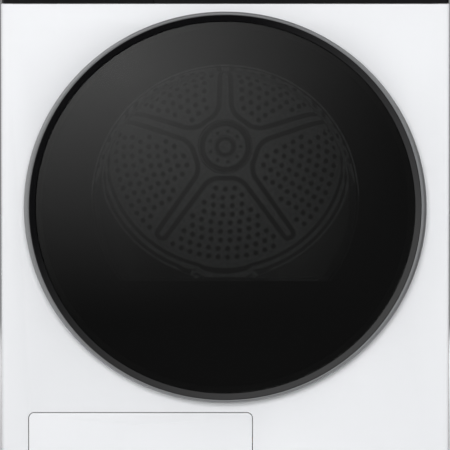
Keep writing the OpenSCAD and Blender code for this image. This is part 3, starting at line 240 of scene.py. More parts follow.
def edge_wear_group():
    """Paint rubbed thin along the softened edges, which carry the worn_edge attribute."""
    tree, given, result = new_group(
        "Edge wear", [("Colour", COLOUR, GREY), ("Worn Colour", COLOUR, GREY), ("Amount", FLOAT, 0.3)],
        [("Colour", COLOUR), ("Mask", FLOAT)])
    edge = add_node(tree, "ShaderNodeAttribute", attribute_name="worn_edge").outputs["Fac"]
    patch = object_noise(tree, 26.0, 6.0)
    patch = maths(tree, "MULTIPLY_ADD", patch, 3.0, -1.0, clamp=True)
    mask = maths(tree, "MULTIPLY", maths(tree, "MULTIPLY", edge, patch), given.outputs["Amount"])
    tree.links.new(mixed(tree, mask, given.outputs["Colour"], given.outputs["Worn Colour"]),
                   result.inputs["Colour"])
    tree.links.new(mask, result.inputs["Mask"])
    return tree


def dust_group():
    """Dust that settles on faces that look up."""
    tree, given, result = new_group(
        "Settled dust", [("Colour", COLOUR, GREY), ("Amount", FLOAT, 0.2)], [("Colour", COLOUR)])
    normal = add_node(tree, "ShaderNodeNewGeometry").outputs["Normal"]
    split = add_node(tree, "ShaderNodeSeparateXYZ")
    tree.links.new(normal, split.inputs[0])
    upward = maths(tree, "MULTIPLY_ADD", split.outputs["Z"], 2.0, -1.2, clamp=True)
    patch = maths(tree, "MULTIPLY_ADD", object_noise(tree, 14.0, 8.0), 1.6, -0.3, clamp=True)
    mask = maths(tree, "MULTIPLY", maths(tree, "MULTIPLY", upward, patch), given.outputs["Amount"])
    dusted = mixed(tree, mask, given.outputs["Colour"], (0.42, 0.4, 0.38, 1.0))
    tree.links.new(dusted, result.inputs["Colour"])
    return tree


GROUP_MAKERS = {
    "Tone drift": tone_drift_group, "Gloss drift": gloss_drift_group, "Grain": grain_group,
    "Edge wear": edge_wear_group, "Settled dust": dust_group,
}


def placed_group(tree, name, **values):
    """One of the shared groups in a material, with this material's own values."""
    made = add_node(tree, "ShaderNodeGroup")
    made.node_tree = bpy.data.node_groups.get(name) or GROUP_MAKERS[name]()
    for label, value in values.items():
        feed(tree, made.inputs[label.replace("_", " ")], value)
    return made


def finish(name, colour, roughness, metallic=0.0, drift=0.03, drift_scale=6.0, gloss=0.06, gloss_scale=9.0,
           grain=None, stretch=(1.0, 1.0, 1.0), depth=0.00002, worn=None, wear=0.0, dust=0.0, **fixed):
    """A material from the shared groups. What is named in fixed is set on the shader's own sockets."""
    known = bpy.data.materials.get(name)
    if known:
        return known
    material = bpy.data.materials.new(name)
    material.use_nodes = True
    tree = material.node_tree
    shader = tree.nodes["Principled BSDF"]
    shader.inputs["Metallic"].default_value = metallic
    for label, value in fixed.items():
        shader.inputs[label.replace("_", " ")].default_value = value
    tint = placed_group(tree, "Tone drift", Colour=tuple(colour), Amount=drift, Scale=drift_scale)
    if wear:
        tint = placed_group(tree, "Edge wear", Colour=tint.outputs["Colour"], Worn_Colour=worn, Amount=wear)
    if dust:
        tint = placed_group(tree, "Settled dust", Colour=tint.outputs["Colour"], Amount=dust)
    tree.links.new(tint.outputs["Colour"], shader.inputs["Base Color"])
    rough = placed_group(tree, "Gloss drift", Roughness=roughness, Amount=gloss, Scale=gloss_scale)
    tree.links.new(rough.outputs["Roughness"], shader.inputs["Roughness"])
    if grain:
        height = placed_group(tree, "Grain", Scale=grain, Stretch=stretch).outputs["Height"]
        bump = add_node(tree, "ShaderNodeBump")
        bump.inputs["Distance"].default_value = depth
        tree.links.new(height, bump.inputs["Height"])
        tree.links.new(bump.outputs["Normal"], shader.inputs["Normal"])
    return material


def shade(tone, blue=1.0):
    return (tone, tone, tone * blue, 1.0)


# ---------- the finishes ----------


def white_enamel():
    return finish("White enamel", colours().enamel, 0.3, drift=0.006, drift_scale=2.0, gloss=0.05,
                  grain=180.0, depth=0.00003, wear=0.12, worn=shade(0.75), Coat_Weight=0.35,
                  Coat_Roughness=0.12)


def white_laminate():
    return finish("White laminate", colours().enamel, 0.42, drift=0.01, grain=900.0, depth=0.00006, wear=0.1,
                  worn=shade(0.7), dust=0.06)


def white_plastic():
    return finish("White plastic", colours().enamel, 0.34, drift=0.006, gloss=0.05, grain=420.0,
                  depth=0.00002, wear=0.1, worn=shade(0.74))


def zinc_sheet():
    return finish("Zinc sheet", (0.55, 0.56, 0.57, 1.0), 0.5, metallic=0.45, drift=0.14, drift_scale=60.0,
                  gloss=0.16, gloss_scale=50.0, grain=120.0, depth=0.00003)


# Near black, so that what shows through the drum's holes reads dark: painted shade.
def duct_steel_painted_shade():
    return finish("Duct steel with painted shade", (0.03, 0.03, 0.031, 1.0), 0.6, metallic=0.2, drift=0.2, drift_scale=40.0,
                  gloss=0.1, grain=120.0, depth=0.00003)


def gloss_black():
    return finish("Gloss black", colours().gloss_black, 0.07, drift=0.05, gloss=0.03, grain=90.0,
                  depth=0.000004, wear=0.25, worn=shade(0.06), Coat_Weight=0.3, Coat_Roughness=0.04)


def satin_black():
    return finish("Satin black", colours().satin_black, 0.45, drift=0.08, grain=700.0, depth=0.00005,
                  wear=0.3, worn=shade(0.08), dust=0.03)


def frame_black():
    return finish("Frame black", shade(0.006), 0.6, drift=0.05, gloss=0.02, dust=0.02, Specular_IOR_Level=0.1)


def ring_lacquer():
    return finish("Ring lacquer", colours().ring, 0.36, metallic=0.55, drift=0.03, drift_scale=30.0,
                  gloss=0.05, grain=1500.0, depth=0.00001, Coat_Weight=0.25, Coat_Roughness=0.2)


def light_moulding():
    return finish("Light moulding", colours().moulding, 0.5, drift=0.03, grain=500.0, depth=0.00005,
                  wear=0.15, worn=shade(0.8), dust=0.08)


def bulkhead_plastic():
    return finish("Bulkhead plastic", shade(0.075, 1.02), 0.45, drift=0.05, grain=500.0, depth=0.00004,
                  wear=0.2, worn=shade(0.2))


def grey_moulding():
    return finish("Grey moulding", shade(0.11, 1.03), 0.55, drift=0.06, grain=500.0, depth=0.00006, wear=0.2,
                  worn=shade(0.25), dust=0.15)


def lifter_plastic():
    return finish("Lifter plastic", shade(0.5, 1.02), 0.38, drift=0.03, grain=600.0, depth=0.00003)


def milky_plastic():
    return finish("Milky plastic", (0.8, 0.82, 0.83, 1.0), 0.35, drift=0.03, grain=200.0, depth=0.00004,
                  Subsurface_Weight=0.3, Subsurface_Scale=0.01)


def filter_plastic():
    return finish("Filter plastic", (0.03, 0.034, 0.038, 1.0), 0.42, drift=0.04, grain=600.0, depth=0.00003,
                  wear=0.2, worn=shade(0.14))


def lever_plastic():
    return finish("Lever plastic", (0.8, 0.5, 0.05, 1.0), 0.35, drift=0.04, grain=600.0, depth=0.00003)


def knob_metal():
    return finish("Knob metal", (0.5, 0.5, 0.52, 1.0), 0.28, metallic=0.9, drift=0.04, gloss=0.05,
                  grain=260.0, stretch=(1.0, 8.0, 1.0), depth=0.000015, wear=0.3, worn=shade(0.8))


def button_plastic():
    return finish("Button plastic", shade(0.16, 1.02), 0.32, metallic=0.3, drift=0.04, grain=900.0,
                  depth=0.00001)


def board_green():
    return finish("Board green", (0.02, 0.1, 0.045, 1.0), 0.4, drift=0.2, drift_scale=160.0)


def drum_steel():
    return finish("Drum steel", (0.62, 0.625, 0.63, 1.0), 0.42, metallic=0.7, drift=0.05, drift_scale=12.0,
                  gloss=0.06, grain=220.0, stretch=(1.0, 0.04, 1.0), depth=0.00001)


# Dark steel that paints shade into the drum's back: the star's slopes, the beads, the hub's groove and
# recess, and its screws.
def painted_shade_steel():
    return finish("Painted shade steel", (0.12, 0.12, 0.122, 1.0), 0.55, metallic=0.3, drift=0.1, drift_scale=40.0)


def turned_steel():
    return finish("Turned steel", (0.55, 0.555, 0.56, 1.0), 0.3, metallic=1.0, drift=0.06, gloss=0.08,
                  grain=600.0, stretch=(1.0, 0.2, 1.0), depth=0.00001)


def fin_aluminium():
    return finish("Fin aluminium", (0.76, 0.77, 0.78, 1.0), 0.34, metallic=1.0, drift=0.08, grain=300.0,
                  stretch=(0.2, 0.2, 1.0), depth=0.00003)


def cast_aluminium():
    return finish("Cast aluminium", (0.5, 0.51, 0.52, 1.0), 0.5, metallic=1.0, drift=0.08, drift_scale=30.0,
                  grain=300.0, depth=0.0001)


def black_enamel():
    return finish("Black enamel", shade(0.015), 0.3, drift=0.05, grain=150.0, depth=0.00006, wear=0.4,
                  worn=shade(0.2), dust=0.2)


def drawn_copper():
    return finish("Drawn copper", (0.72, 0.36, 0.22, 1.0), 0.32, metallic=1.0, drift=0.15, drift_scale=20.0)


def bearing_bronze():
    return finish("Bearing bronze", (0.55, 0.38, 0.17, 1.0), 0.45, metallic=1.0, drift=0.1, grain=900.0)


def black_rubber():
    return finish("Black rubber", shade(0.018), 0.62, drift=0.1, grain=500.0, depth=0.00008, dust=0.2)


def grey_rubber():
    return finish("Grey rubber", shade(0.1), 0.6, drift=0.08, grain=500.0, depth=0.00006, dust=0.1)


def pressed_felt():
    return finish("Pressed felt", colours().felt, 0.95, drift=0.25, drift_scale=140.0, grain=900.0,
                  depth=0.0006, Sheen_Weight=0.4)


def clear_glass(name, tint, roughness, ior=1.5):
    known = bpy.data.materials.get(name)
    if known:
        return known
    material = bpy.data.materials.new(name)
    material.use_nodes = True
    tree = material.node_tree
    shader = tree.nodes["Principled BSDF"]
    shader.inputs["Base Color"].default_value = tuple(tint)
    shader.inputs["Transmission Weight"].default_value = 1.0
    shader.inputs["Metallic"].default_value = 0.0
    shader.inputs["IOR"].default_value = ior
    rough = placed_group(tree, "Gloss drift", Roughness=roughness, Amount=roughness * 0.6, Scale=7.0)
    tree.links.new(rough.outputs["Roughness"], shader.inputs["Roughness"])
    return material


def smoked_glass():
    return clear_glass("Smoked glass", colours().smoked, 0.012)


def window_clear():
    return clear_glass("Window clear", (0.97, 0.98, 0.98, 1.0), 0.01, 1.45)


def lamp_frosted():
    return clear_glass("Lamp frosted", (0.98, 0.96, 0.92, 1.0), 0.35, 1.45)


def display_light():
    glow = (0.75, 0.85, 0.9, 1.0)
    return finish("Display light", glow, 0.4, drift=0.08, drift_scale=300.0, grain=900.0, depth=0.00001,
                  Emission_Color=glow, Emission_Strength=0.6)


def printed_mark():
    return finish("Printed mark", shade(0.6), 0.5, drift=0.08, drift_scale=300.0, grain=900.0, depth=0.00001,
                  wear=0.2, worn=shade(0.3))


def filter_gauze():
    """Woven mesh: threads show, and the gaps between them are open."""
    known = bpy.data.materials.get("Filter gauze")
    if known:
        return known
    material = bpy.data.materials.new("Filter gauze")
    material.use_nodes = True
    tree = material.node_tree
    shader = tree.nodes["Principled BSDF"]
    shader.inputs["Base Color"].default_value = (0.5, 0.53, 0.56, 1.0)
    shader.inputs["Roughness"].default_value = 0.5
    threads = []
    for axis in ("X", "Z"):
        wave = add_node(tree, "ShaderNodeTexWave", wave_type="BANDS", bands_direction=axis)
        wave.inputs["Scale"].default_value = 200.0
        tree.links.new(add_node(tree, "ShaderNodeTexCoord").outputs["Object"], wave.inputs["Vector"])
        threads.append(wave.outputs["Fac"])
    woven = maths(tree, "MAXIMUM", *threads)
    tree.links.new(maths(tree, "MULTIPLY_ADD", woven, 6.0, -3.4, clamp=True), shader.inputs["Alpha"])
    return material


# ---------- mesh helpers ----------


def new_piece(name, bm, material, smooth=SMOOTH_ANGLE):
    """Turns a bmesh into an object at the origin, smooth but for edges sharper than the angle."""
    mesh = bpy.data.meshes.new(name)
    bm.to_mesh(mesh)
    bm.free()
    mesh.materials.append(material)
    mesh.shade_smooth()
    mesh.set_sharp_from_angle(angle=math.radians(smooth))
    piece = bpy.data.objects.new(name, mesh)
    bpy.context.scene.collection.objects.link(piece)
    return piece


def stands_for(piece, *nodes, rides=None):
    """The piece takes the place and body of these CAD nodes."""
    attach(piece, rides or BODY_OF[nodes[0]])
    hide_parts(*nodes)
    return piece


def goes_with(piece, node):
    """The piece is a detail of a CAD node that stays: it takes its body."""
    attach(piece, BODY_OF[node])
    return piece


def coat(material, *nodes):
    for node in nodes:
        data = frame["nodes"][node].data
        data.materials.clear()
        data.materials.append(material)
        data.shade_smooth()
        data.set_sharp_from_angle(angle=math.radians(SMOOTH_ANGLE))


def welded(node):
    """A copy of a CAD node's mesh with its loose triangles joined and flat faces made whole."""
    bm = bmesh.new()
    bm.from_mesh(frame["nodes"][node].data)
    bmesh.ops.remove_doubles(bm, verts=bm.verts, dist=2e-6)
    bmesh.ops.dissolve_limit(bm, angle_limit=math.radians(0.6), verts=bm.verts, edges=bm.edges)
    return bm


def softened(node, material, width=None, segments=2, corner=38.0):
    """A CAD node's shape with its hard edges rounded and marked for wear."""
    bm = welded(node)
    worn = bm.faces.layers.float.new("worn_edge")
    sharp = [e for e in bm.edges if len(e.link_faces) == 2 and e.calc_face_angle(0.0) > math.radians(corner)]
    rounded = bmesh.ops.bevel(
        bm, geom=sharp, offset=width or sizes().edge_softness, offset_type="OFFSET", segments=segments,
        profile=0.5, affect="EDGES", clamp_overlap=True, material=-1, loop_slide=True)
    for face in rounded["faces"]:
        face[worn] = 1.0
    piece = new_piece(node + "_finished", bm, material, smooth=40.0)
    return stands_for(piece, node)


def spun(profile, centre, steps=160, closed=True):
    """A profile of (radius, y) points turned about an axis along Y through centre."""
    bm = bmesh.new()
    points = [bm.verts.new((r, y, 0.0)) for r, y in profile]
    edges = [bm.edges.new(pair) for pair in zip(points, points[1:])]
    if closed:
        edges.append(bm.edges.new((points[-1], points[0])))
    bmesh.ops.spin(
        bm, geom=points + edges, cent=(0, 0, 0), axis=(0, 1, 0), dvec=(0, 0, 0), angle=math.tau,
        steps=steps, use_merge=True)
    bmesh.ops.remove_doubles(bm, verts=bm.verts, dist=1e-6)
    bmesh.ops.recalc_face_normals(bm, faces=bm.faces)
    bmesh.ops.translate(bm, verts=bm.verts, vec=centre)
    return bm


def rounded_corner(r, y, radius, start, end, steps=6):
    """Points of a quarter round about (r, y), in a turned profile."""
    turns = [math.radians(start + (end - start) * i / steps) for i in range(steps + 1)]
    return [(r + radius * math.cos(a), y + radius * math.sin(a)) for a in turns]


def ovalled(bm, outer, inner):
    """Squeezes turned rings to the door's ovals. Each of outer and inner is (half width, half height)."""
    for vert in bm.verts:
        x, z = vert.co.x - DOOR_CENTRE.x, vert.co.z - DOOR_CENTRE.z
        radius = math.hypot(x, z)
        share = min(max((radius - inner[0]) / max(outer[0] - inner[0], 1e-9), 0.0), 1.0)
        squeeze = inner[1] / inner[0] * (1 - share) + outer[1] / outer[0] * share
        vert.co.z = DOOR_CENTRE.z + z * squeeze


def half_size(low, high):
    return ((high.x - low.x) / 2, (high.z - low.z) / 2)


# ---------- door ----------


def make_door_ring():
    outer = half_size(RING_LOW, RING_HIGH)
    inner = half_size(BEZEL_LOW, BEZEL_HIGH)
    front, back, lip = RING_LOW.y, RING_HIGH.y, 0.0034
    step = 0.0016
    profile = [(inner[0], back)]
    profile += rounded_corner(outer[0] - 0.0012, back - 0.0012, 0.0012, 90, 0)
    profile += rounded_corner(outer[0] - lip, front + 0.0022 + lip, lip, 0, -62, 7)
    profile += rounded_corner(outer[0] - step - 0.0022, front + 0.0012, 0.0012, -20, -90, 4)
    profile += rounded_corner(inner[0] + 0.0009, front + 0.0009, 0.0009, -90, -180, 4)
    bm = spun(profile, DOOR_AXIS, 240)
    ovalled(bm, outer, inner)
    stands_for(new_piece("door_trim_ring", bm, ring_lacquer()), "door_ring")


def make_door_bezel():
    outer = half_size(BEZEL_LOW, BEZEL_HIGH)
    inner = half_size(GLASS_LOW, GLASS_HIGH)
    front, back = BEZEL_LOW.y, BEZEL_HIGH.y
    foot, seat = front + 0.008, 0.0086
    profile = [(outer[0], back), (outer[0], front + 0.0002)]
    profile += rounded_corner(outer[0] - 0.0006, front + 0.0006, 0.0006, -60, -130, 4)
    profile += [(inner[0] + 0.0014, foot - 0.0009)]
    profile += rounded_corner(inner[0] + 0.0009, foot + 0.0004, 0.0008, -120, -180, 4)
    profile += [(inner[0] + 0.0001, foot + 0.006), (inner[0] - seat, foot + 0.0063), (inner[0] - seat, back)]
    bm = spun(profile, DOOR_AXIS, 240)
    ovalled(bm, outer, inner)
    stands_for(new_piece("door_bevel_band", bm, gloss_black()), "door_bezel")


def make_door_glass():
    half = half_size(GLASS_LOW, GLASS_HIGH)
    bulge, thickness, steps = sizes().glass_bulge, 0.0039, 14
    edge = GLASS_LOW.y + 0.007
    ground = 0.0007
    rim = half[0] - ground
    radii = [rim * i / steps for i in range(steps + 1)]
    front = [(r, edge - bulge * (1 - (r / half[0]) ** 2)) for r in radii]
    back = [(r, y + thickness) for r, y in reversed(front)]
    ground_edge = [(half[0], edge + ground), (half[0], edge + thickness - ground)]
    bm = spun(front + ground_edge + back, DOOR_AXIS, 240, closed=False)
    ovalled(bm, half, (half[0] * 0.5, half[1] * 0.5))
    stands_for(new_piece("door_smoked_glass", bm, smoked_glass()), "door_glass")


def make_inner_window():
    """The clear bowl behind the glass, cut level above the lint filter and closed there by a flat wall."""
    low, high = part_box("door_window")
    rim = (high.x - low.x) / 2
    centre = (0.0, 0.0, high.z - rim)
    wall, flange = 0.003, 0.003
    bowl = rim - 0.014
    depth = high.y - low.y - 0.012
    mouth_y, steps, fullness = low.y + 0.011, 12, 0.7
    turns = [math.radians(90 * i / steps) for i in range(steps)]
    profile = [(rim, low.y + flange / 2), (rim - 0.009, low.y + flange / 2)]
    profile += [(bowl * math.cos(a) ** fullness, mouth_y + depth * math.sin(a)) for a in turns]
    profile.append((0.0, mouth_y + depth))
    bm = spun(profile, centre, 144, closed=False)
    cut = low.z + wall / 2
    everything = bm.verts[:] + bm.edges[:] + bm.faces[:]
    bmesh.ops.bisect_plane(bm, geom=everything, plane_co=(0, 0, cut), plane_no=(0, 0, -1), clear_outer=True)
    flat = [e for e in bm.edges if e.is_boundary and all(abs(v.co.z - cut) < 1e-5 for v in e.verts)]
    ends = [v for v in {v for e in flat for v in e.verts} if sum(e in flat for e in v.link_edges) == 1]
    if len(ends) == 2:
        bmesh.ops.contextual_create(bm, geom=flat + [bm.edges.new(ends)])
    bmesh.ops.recalc_face_normals(bm, faces=bm.faces)
    piece = new_piece("door_inner_window", bm, window_clear(), smooth=50.0)
    shell = piece.modifiers.new("Wall", "SOLIDIFY")
    shell.thickness = wall * 0.9
    shell.offset = 0.0
    stands_for(piece, "door_window")


# ---------- drum ----------


def star_outline(bm, plane_y):
    """The flat star of the drum's back: a five-sided hub and its spokes, corners rounded."""
    width, reach = sizes().spoke_width, sizes().spoke_reach
    taper, root_round, tip_round = 0.86, 0.012, width * 0.4
    turn = math.tau / SPOKES
    corners = []
    for i in range(SPOKES):
        along = Vector((math.cos(math.pi / 2 + i * turn), math.sin(math.pi / 2 + i * turn)))
        across = Vector((-along.y, along.x))
        foot = (HUB_FLAT - width / 2 * math.sin(turn / 2)) / math.cos(turn / 2)
        for side, distance in ((-1, foot), (-1, reach), (1, reach), (1, foot)):
            spot = along * distance + across * side * width / 2 * (taper if distance == reach else 1.0)
            corners.append((spot, distance == reach))
    tips, roots = [], []
    for spot, is_tip in corners:
        vert = bm.verts.new((DRUM_CENTRE.x + spot.x, plane_y, DRUM_CENTRE.z + spot.y))
        (tips if is_tip else roots).append(vert)
    bm.faces.new(bm.verts)
    for group, offset in ((roots, root_round), (tips, tip_round)):
        bmesh.ops.bevel(
            bm, geom=group, offset=offset, segments=5, profile=0.5, affect="VERTICES", material=-1)
    bm.faces.ensure_lookup_table()
    return bm.faces[0]


def in_sector(radius, angle, margin):
    """True where a hole stays clear of the spokes and the hub."""
    turn = math.tau / SPOKES
    off = abs((angle - math.pi / 2 + turn / 2) % turn - turn / 2)
    beside = radius * math.sin(off)
    inward = radius * math.cos(turn / 2 - off)
    return beside > sizes().spoke_width / 2 + margin and inward > HUB_FLAT + margin


def make_drum_plate(plate_y, flat_radius):
    """The flat sheet of the drum's back, with rings of holes between the spokes."""
    shaft_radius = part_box("drum_shaft")[1].x
    radius, pitch = sizes().hole_radius, sizes().hole_pitch
    first_row, row_step, clearance = 0.064, pitch * 0.9, 0.004
    bm = bmesh.new()
    bmesh.ops.create_circle(bm, segments=160, radius=flat_radius, cap_ends=False)
    bmesh.ops.create_circle(bm, segments=64, radius=shaft_radius, cap_ends=False)
    rows = 1 + int((sizes().field_radius - first_row + 0.002) / row_step)
    for row in range(rows):
        ring = first_row + row * row_step
        count = int(math.tau * ring / pitch)
        for k in range(count):
            angle = math.tau * (k + 0.5 * (row % 2)) / count
            if in_sector(ring, angle, radius + clearance):
                spot = Matrix.Translation((ring * math.cos(angle), ring * math.sin(angle), 0.0))
                bmesh.ops.create_circle(bm, segments=12, radius=radius, cap_ends=False, matrix=spot)
    bmesh.ops.triangle_fill(bm, use_beauty=True, edges=bm.edges[:], normal=(0, 0, 1))
    place = Matrix.Translation((DRUM_CENTRE.x, plate_y, DRUM_CENTRE.z)) @ UPRIGHT
    bmesh.ops.transform(bm, matrix=place, verts=bm.verts)
    plate = new_piece("drum_back_plate", bm, drum_steel())
    plate.data.shade_flat()
    wall = plate.modifiers.new("Sheet", "SOLIDIFY")
    wall.thickness = 0.001
    wall.offset = 0.0
    stands_for(plate, "drum_back")


def make_drum_dish(plate_y, flat_radius):
    """The sheet's rim, stepped forward and turned up where it meets the shell."""
    rim = BACK_HIGH.x - DRUM_CENTRE.x
    steps = ((-0.002, 0.0008), (0.004, 0.0009), (0.018, 0.004), (0.022, 0.0062), (0.034, 0.0074))
    dish = [(flat_radius + outward, plate_y - forward) for outward, forward in steps]
    turn_up = ((0.012, 0.0022), (0.004, -0.006), (0.0016, -0.011))
    dish += [(rim - inward, BACK_LOW.y + rearward) for inward, rearward in turn_up]
    bm = spun(dish, DRUM_AXIS, closed=False)
    goes_with(new_piece("drum_back_dish", bm, drum_steel(), smooth=45.0), "drum_back")


def make_drum_beads(plate_y):
    """Shallow pressed rings between the perforated field and the dished rim, coloured dark all over as
    painted shade.
    """
    first, spacing, half_width = sizes().field_radius + 0.006, 0.011, 0.0026
    foot_y, crest_y = plate_y - 0.0006, plate_y - 0.002
    for k in range(3):
        radius = first + k * spacing
        profile = [(radius - half_width, foot_y), (radius, crest_y), (radius + half_width, foot_y)]
        bead = spun(profile, DRUM_AXIS, 128, closed=False)
        # The beads take the dark steel: painted shade.
        goes_with(new_piece(f"drum_back_bead_{k + 1}", bead, painted_shade_steel(), smooth=50.0), "drum_back")


def make_drum_star(plate_y):
    """The raised star: a ridge between slopes that are darkened with painted shade."""
    bm = bmesh.new()
    face = star_outline(bm, plate_y - 0.0006)
    if face.normal.y > 0:
        bmesh.ops.reverse_faces(bm, faces=bm.faces)
    for inset, rise in ((0.0008, 0.0004), (0.0054, 0.0042), (0.0010, 0.0006)):
        top = max(bm.faces, key=lambda f: f.calc_area())
        bmesh.ops.inset_region(
            bm, faces=[top], thickness=inset, depth=0.0, use_even_offset=True, use_boundary=True)
        bmesh.ops.translate(bm, verts=list(top.verts), vec=(0, -rise, 0))
    bm.normal_update()
    for face in bm.faces:
        # Slopes take the second, dark material: painted shade.
        face.material_index = int(abs(face.normal.y) < 0.9)
    star = new_piece("drum_back_star", bm, drum_steel(), smooth=30.0)
    star.data.materials.append(painted_shade_steel())
    goes_with(star, "drum_back")


def make_drum_hub(plate_y):
    """Ring groove, screw circle and centre boss of the drum's back."""
    front = plate_y - 0.0092
    groove, recess = (0.0306, 0.0386), (0.0098, 0.0146)
    steps = ((0.0415, 0.0034), (0.0395, -0.001), (groove[1], -0.001), (0.0362, 0.0026), (0.0332, 0.0026),
             (groove[0], -0.001), (0.0175, -0.0014), (0.0166, -0.0042), (recess[1], -0.0048),
             (0.0132, -0.0022), (recess[0], -0.002), (0.0088, -0.0044), (0.0, -0.0048))
    bm = spun([(radius, front + rearward) for radius, rearward in steps], DRUM_AXIS, 96, closed=False)
    # Faces in the groove and the recess take the dark steel: painted shade.
    for face in bm.faces:
        middle = face.calc_center_median() - DRUM_CENTRE
        reach = math.hypot(middle.x, middle.z)
        face.material_index = int(any(low < reach < high for low, high in (groove, recess)))
    hub = goes_with(new_piece("drum_hub", bm, drum_steel(), smooth=50.0), "drum_shaft")
    hub.data.materials.append(painted_shade_steel())
    bm = bmesh.new()
    screws, circle, head, height = 9, 0.0232, 0.0028, 0.0022
    for k in range(screws):
        angle = math.tau * k / screws
        spot = DRUM_AXIS + Vector((circle * math.cos(angle), front - 0.0026, circle * math.sin(angle)))
        bmesh.ops.create_cone(bm, cap_ends=True, segments=6, radius1=head, radius2=head, depth=height,
                              matrix=Matrix.Translation(spot) @ UPRIGHT)
    rim = [e for e in bm.edges if all(v.co.y < front - 0.003 for v in e.verts)]
    bmesh.ops.bevel(bm, geom=rim, offset=0.0004, segments=2, profile=0.5, affect="EDGES", material=-1)
    # The screw heads take the dark steel too, as dark dots of painted shade.
    goes_with(new_piece("drum_hub_screws", bm, painted_shade_steel()), "drum_shaft")


class DRYER_OT_drum(bpy.types.Operator):
    """Build the drum: shell, perforated back, star, hub and lifters"""

    bl_idname = "dryer.drum"
    bl_label = "Drum"

    def execute(self, context):
        coat(drum_steel(), "drum_shell", "drum_front_ring")
        coat(turned_steel(), "drum_shaft")
        plate_y = BACK_HIGH.y - 0.0008
        flat_radius = (BACK_HIGH.x - BACK_LOW.x) / 2 - 0.066
        make_drum_plate(plate_y, flat_radius)
        make_drum_dish(plate_y, flat_radius)
        make_drum_beads(plate_y)
        make_drum_star(plate_y)
        make_drum_hub(plate_y)
        softened("drum_lifters", lifter_plastic(), width=0.006, segments=4)
        return {"FINISHED"}


class DRYER_OT_door(bpy.types.Operator):
    """Build the door: ring, bevel band, smoked glass, frame, inner window, seal and hinge"""

    bl_idname = "dryer.door"
    bl_label = "Door"

    def execute(self, context):
        make_door_ring()
        make_door_bezel()
        make_door_glass()
        make_inner_window()
        softened("door_frame", frame_black(), width=0.001)
        coat(grey_rubber(), "door_seal")
        for node in ("hinge_base", "hinge_arm", "door_hook"):
            softened(node, turned_steel(), width=0.0004)
        softened("door_catch", satin_black(), width=0.0008)
        return {"FINISHED"}


# ---------- cabinet and controls ----------


class DRYER_OT_cabinet(bpy.types.Operator):
    """Build the cabinet: enamelled panels, worktop, rear sheet, base and feet"""

    bl_idname = "dryer.cabinet"
    bl_label = "Cabinet"

    def execute(self, context):
        softened("front_panel", white_enamel(), width=0.0005)
        for node in ("side_panel_left", "side_panel_right"):
            softened(node, white_enamel(), width=0.0011, segments=3)
        softened("worktop", white_laminate(), width=0.0025, segments=4)
        coat(zinc_sheet(), "rear_panel")
        softened("base_tub", grey_moulding(), width=0.001)
        softened("levelling_feet", black_rubber(), width=0.001)
        softened("service_flap", white_plastic(), width=0.0006, segments=3)
        softened("mains_inlet", satin_black(), width=0.0008)
        return {"FINISHED"}


def fascia_middle():
    low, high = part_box("control_fascia")
    return (low.z + high.z) / 2


def add_block(bm, place, size):
    bmesh.ops.create_cube(bm, size=1.0, matrix=place @ Matrix.Diagonal((*size, 1)))


def make_display_lens():
    """The dark lens that fills the fascia's window, with three plain lit bars on it."""
    width, height, thickness = 0.1316, 0.0436, 0.0008
    board_past, corner = 0.0102, 0.0027
    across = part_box("control_board")[1].x - board_past - width / 2
    centre = Vector((across, FRONT_Y + 0.0006, fascia_middle()))
    bm = bmesh.new()
    add_block(bm, Matrix.Translation(centre), (width, thickness, height))
    upright = [e for e in bm.edges if abs(e.verts[0].co.y - e.verts[1].co.y) > thickness / 2]
    bmesh.ops.bevel(bm, geom=upright, offset=corner, segments=5, profile=0.5, affect="EDGES", material=-1)
    goes_with(new_piece("display_lens", bm, gloss_black()), "control_fascia")
    bm = bmesh.new()
    bars, spacing, drop = 3, 0.031, 0.009
    for i in range(bars):
        spot = centre + Vector(((i - (bars - 1) / 2) * spacing, -0.00045, -drop))
        add_block(bm, Matrix.Translation(spot), (0.028, 0.0002, 0.0022))
    goes_with(new_piece("display_bars", bm, display_light()), "control_fascia")


def make_selector_ticks():
    """Short printed marks round the selector, one for each stop."""
    low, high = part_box("selector_knob")
    centre = Vector(((low.x + high.x) / 2, FRONT_Y - 0.00005, fascia_middle()))
    stops, radius = 16, 0.0335
    bm = bmesh.new()
    for k in range(stops):
        turned = Matrix.Translation(centre) @ Matrix.Rotation(math.tau * k / stops, 4, "Y")
        add_block(bm, turned @ Matrix.Translation((0, 0, radius)), (0.0009, 0.0003, 0.004))
    goes_with(new_piece("selector_marks", bm, printed_mark()), "control_fascia")


class DRYER_OT_controls(bpy.types.Operator):
    """Build the control band: fascia, tank front, selector knob, buttons and display"""

    bl_idname = "dryer.controls"
    bl_label = "Controls"

    def execute(self, context):
        softened("control_fascia", gloss_black(), width=0.0006, segments=3)
        softened("tank_front", gloss_black(), width=0.0006, segments=3)
        softened("selector_knob", knob_metal(), width=0.0006, segments=3)
        softened("power_button", button_plastic(), width=0.0005, segments=3)
        softened("start_button", button_plastic(), width=0.0005, segments=3)
        coat(board_green(), "control_board")
        make_display_lens()
        make_selector_ticks()
        return {"FINISHED"}


# ---------- inner parts ----------


def make_filter_gauze():
    """The gauze in the front and back of the lint filter's frame."""
    low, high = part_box("lint_filter")
    inset, side, foot, head = 0.0055, 0.014, 0.006, 0.014
    width, height = high.x - low.x - 2 * side, high.z - low.z - foot - head
    bm = bmesh.new()
    for y in (low.y + inset, high.y - inset):
        spot = Vector(((low.x + high.x) / 2, y, low.z + foot + height / 2))
        place = Matrix.Translation(spot) @ UPRIGHT @ Matrix.Diagonal((width, height, 1, 1))
        bmesh.ops.create_grid(bm, x_segments=12, y_segments=6, size=0.5, matrix=place)
    goes_with(new_piece("lint_gauze", bm, filter_gauze()), "lint_filter")


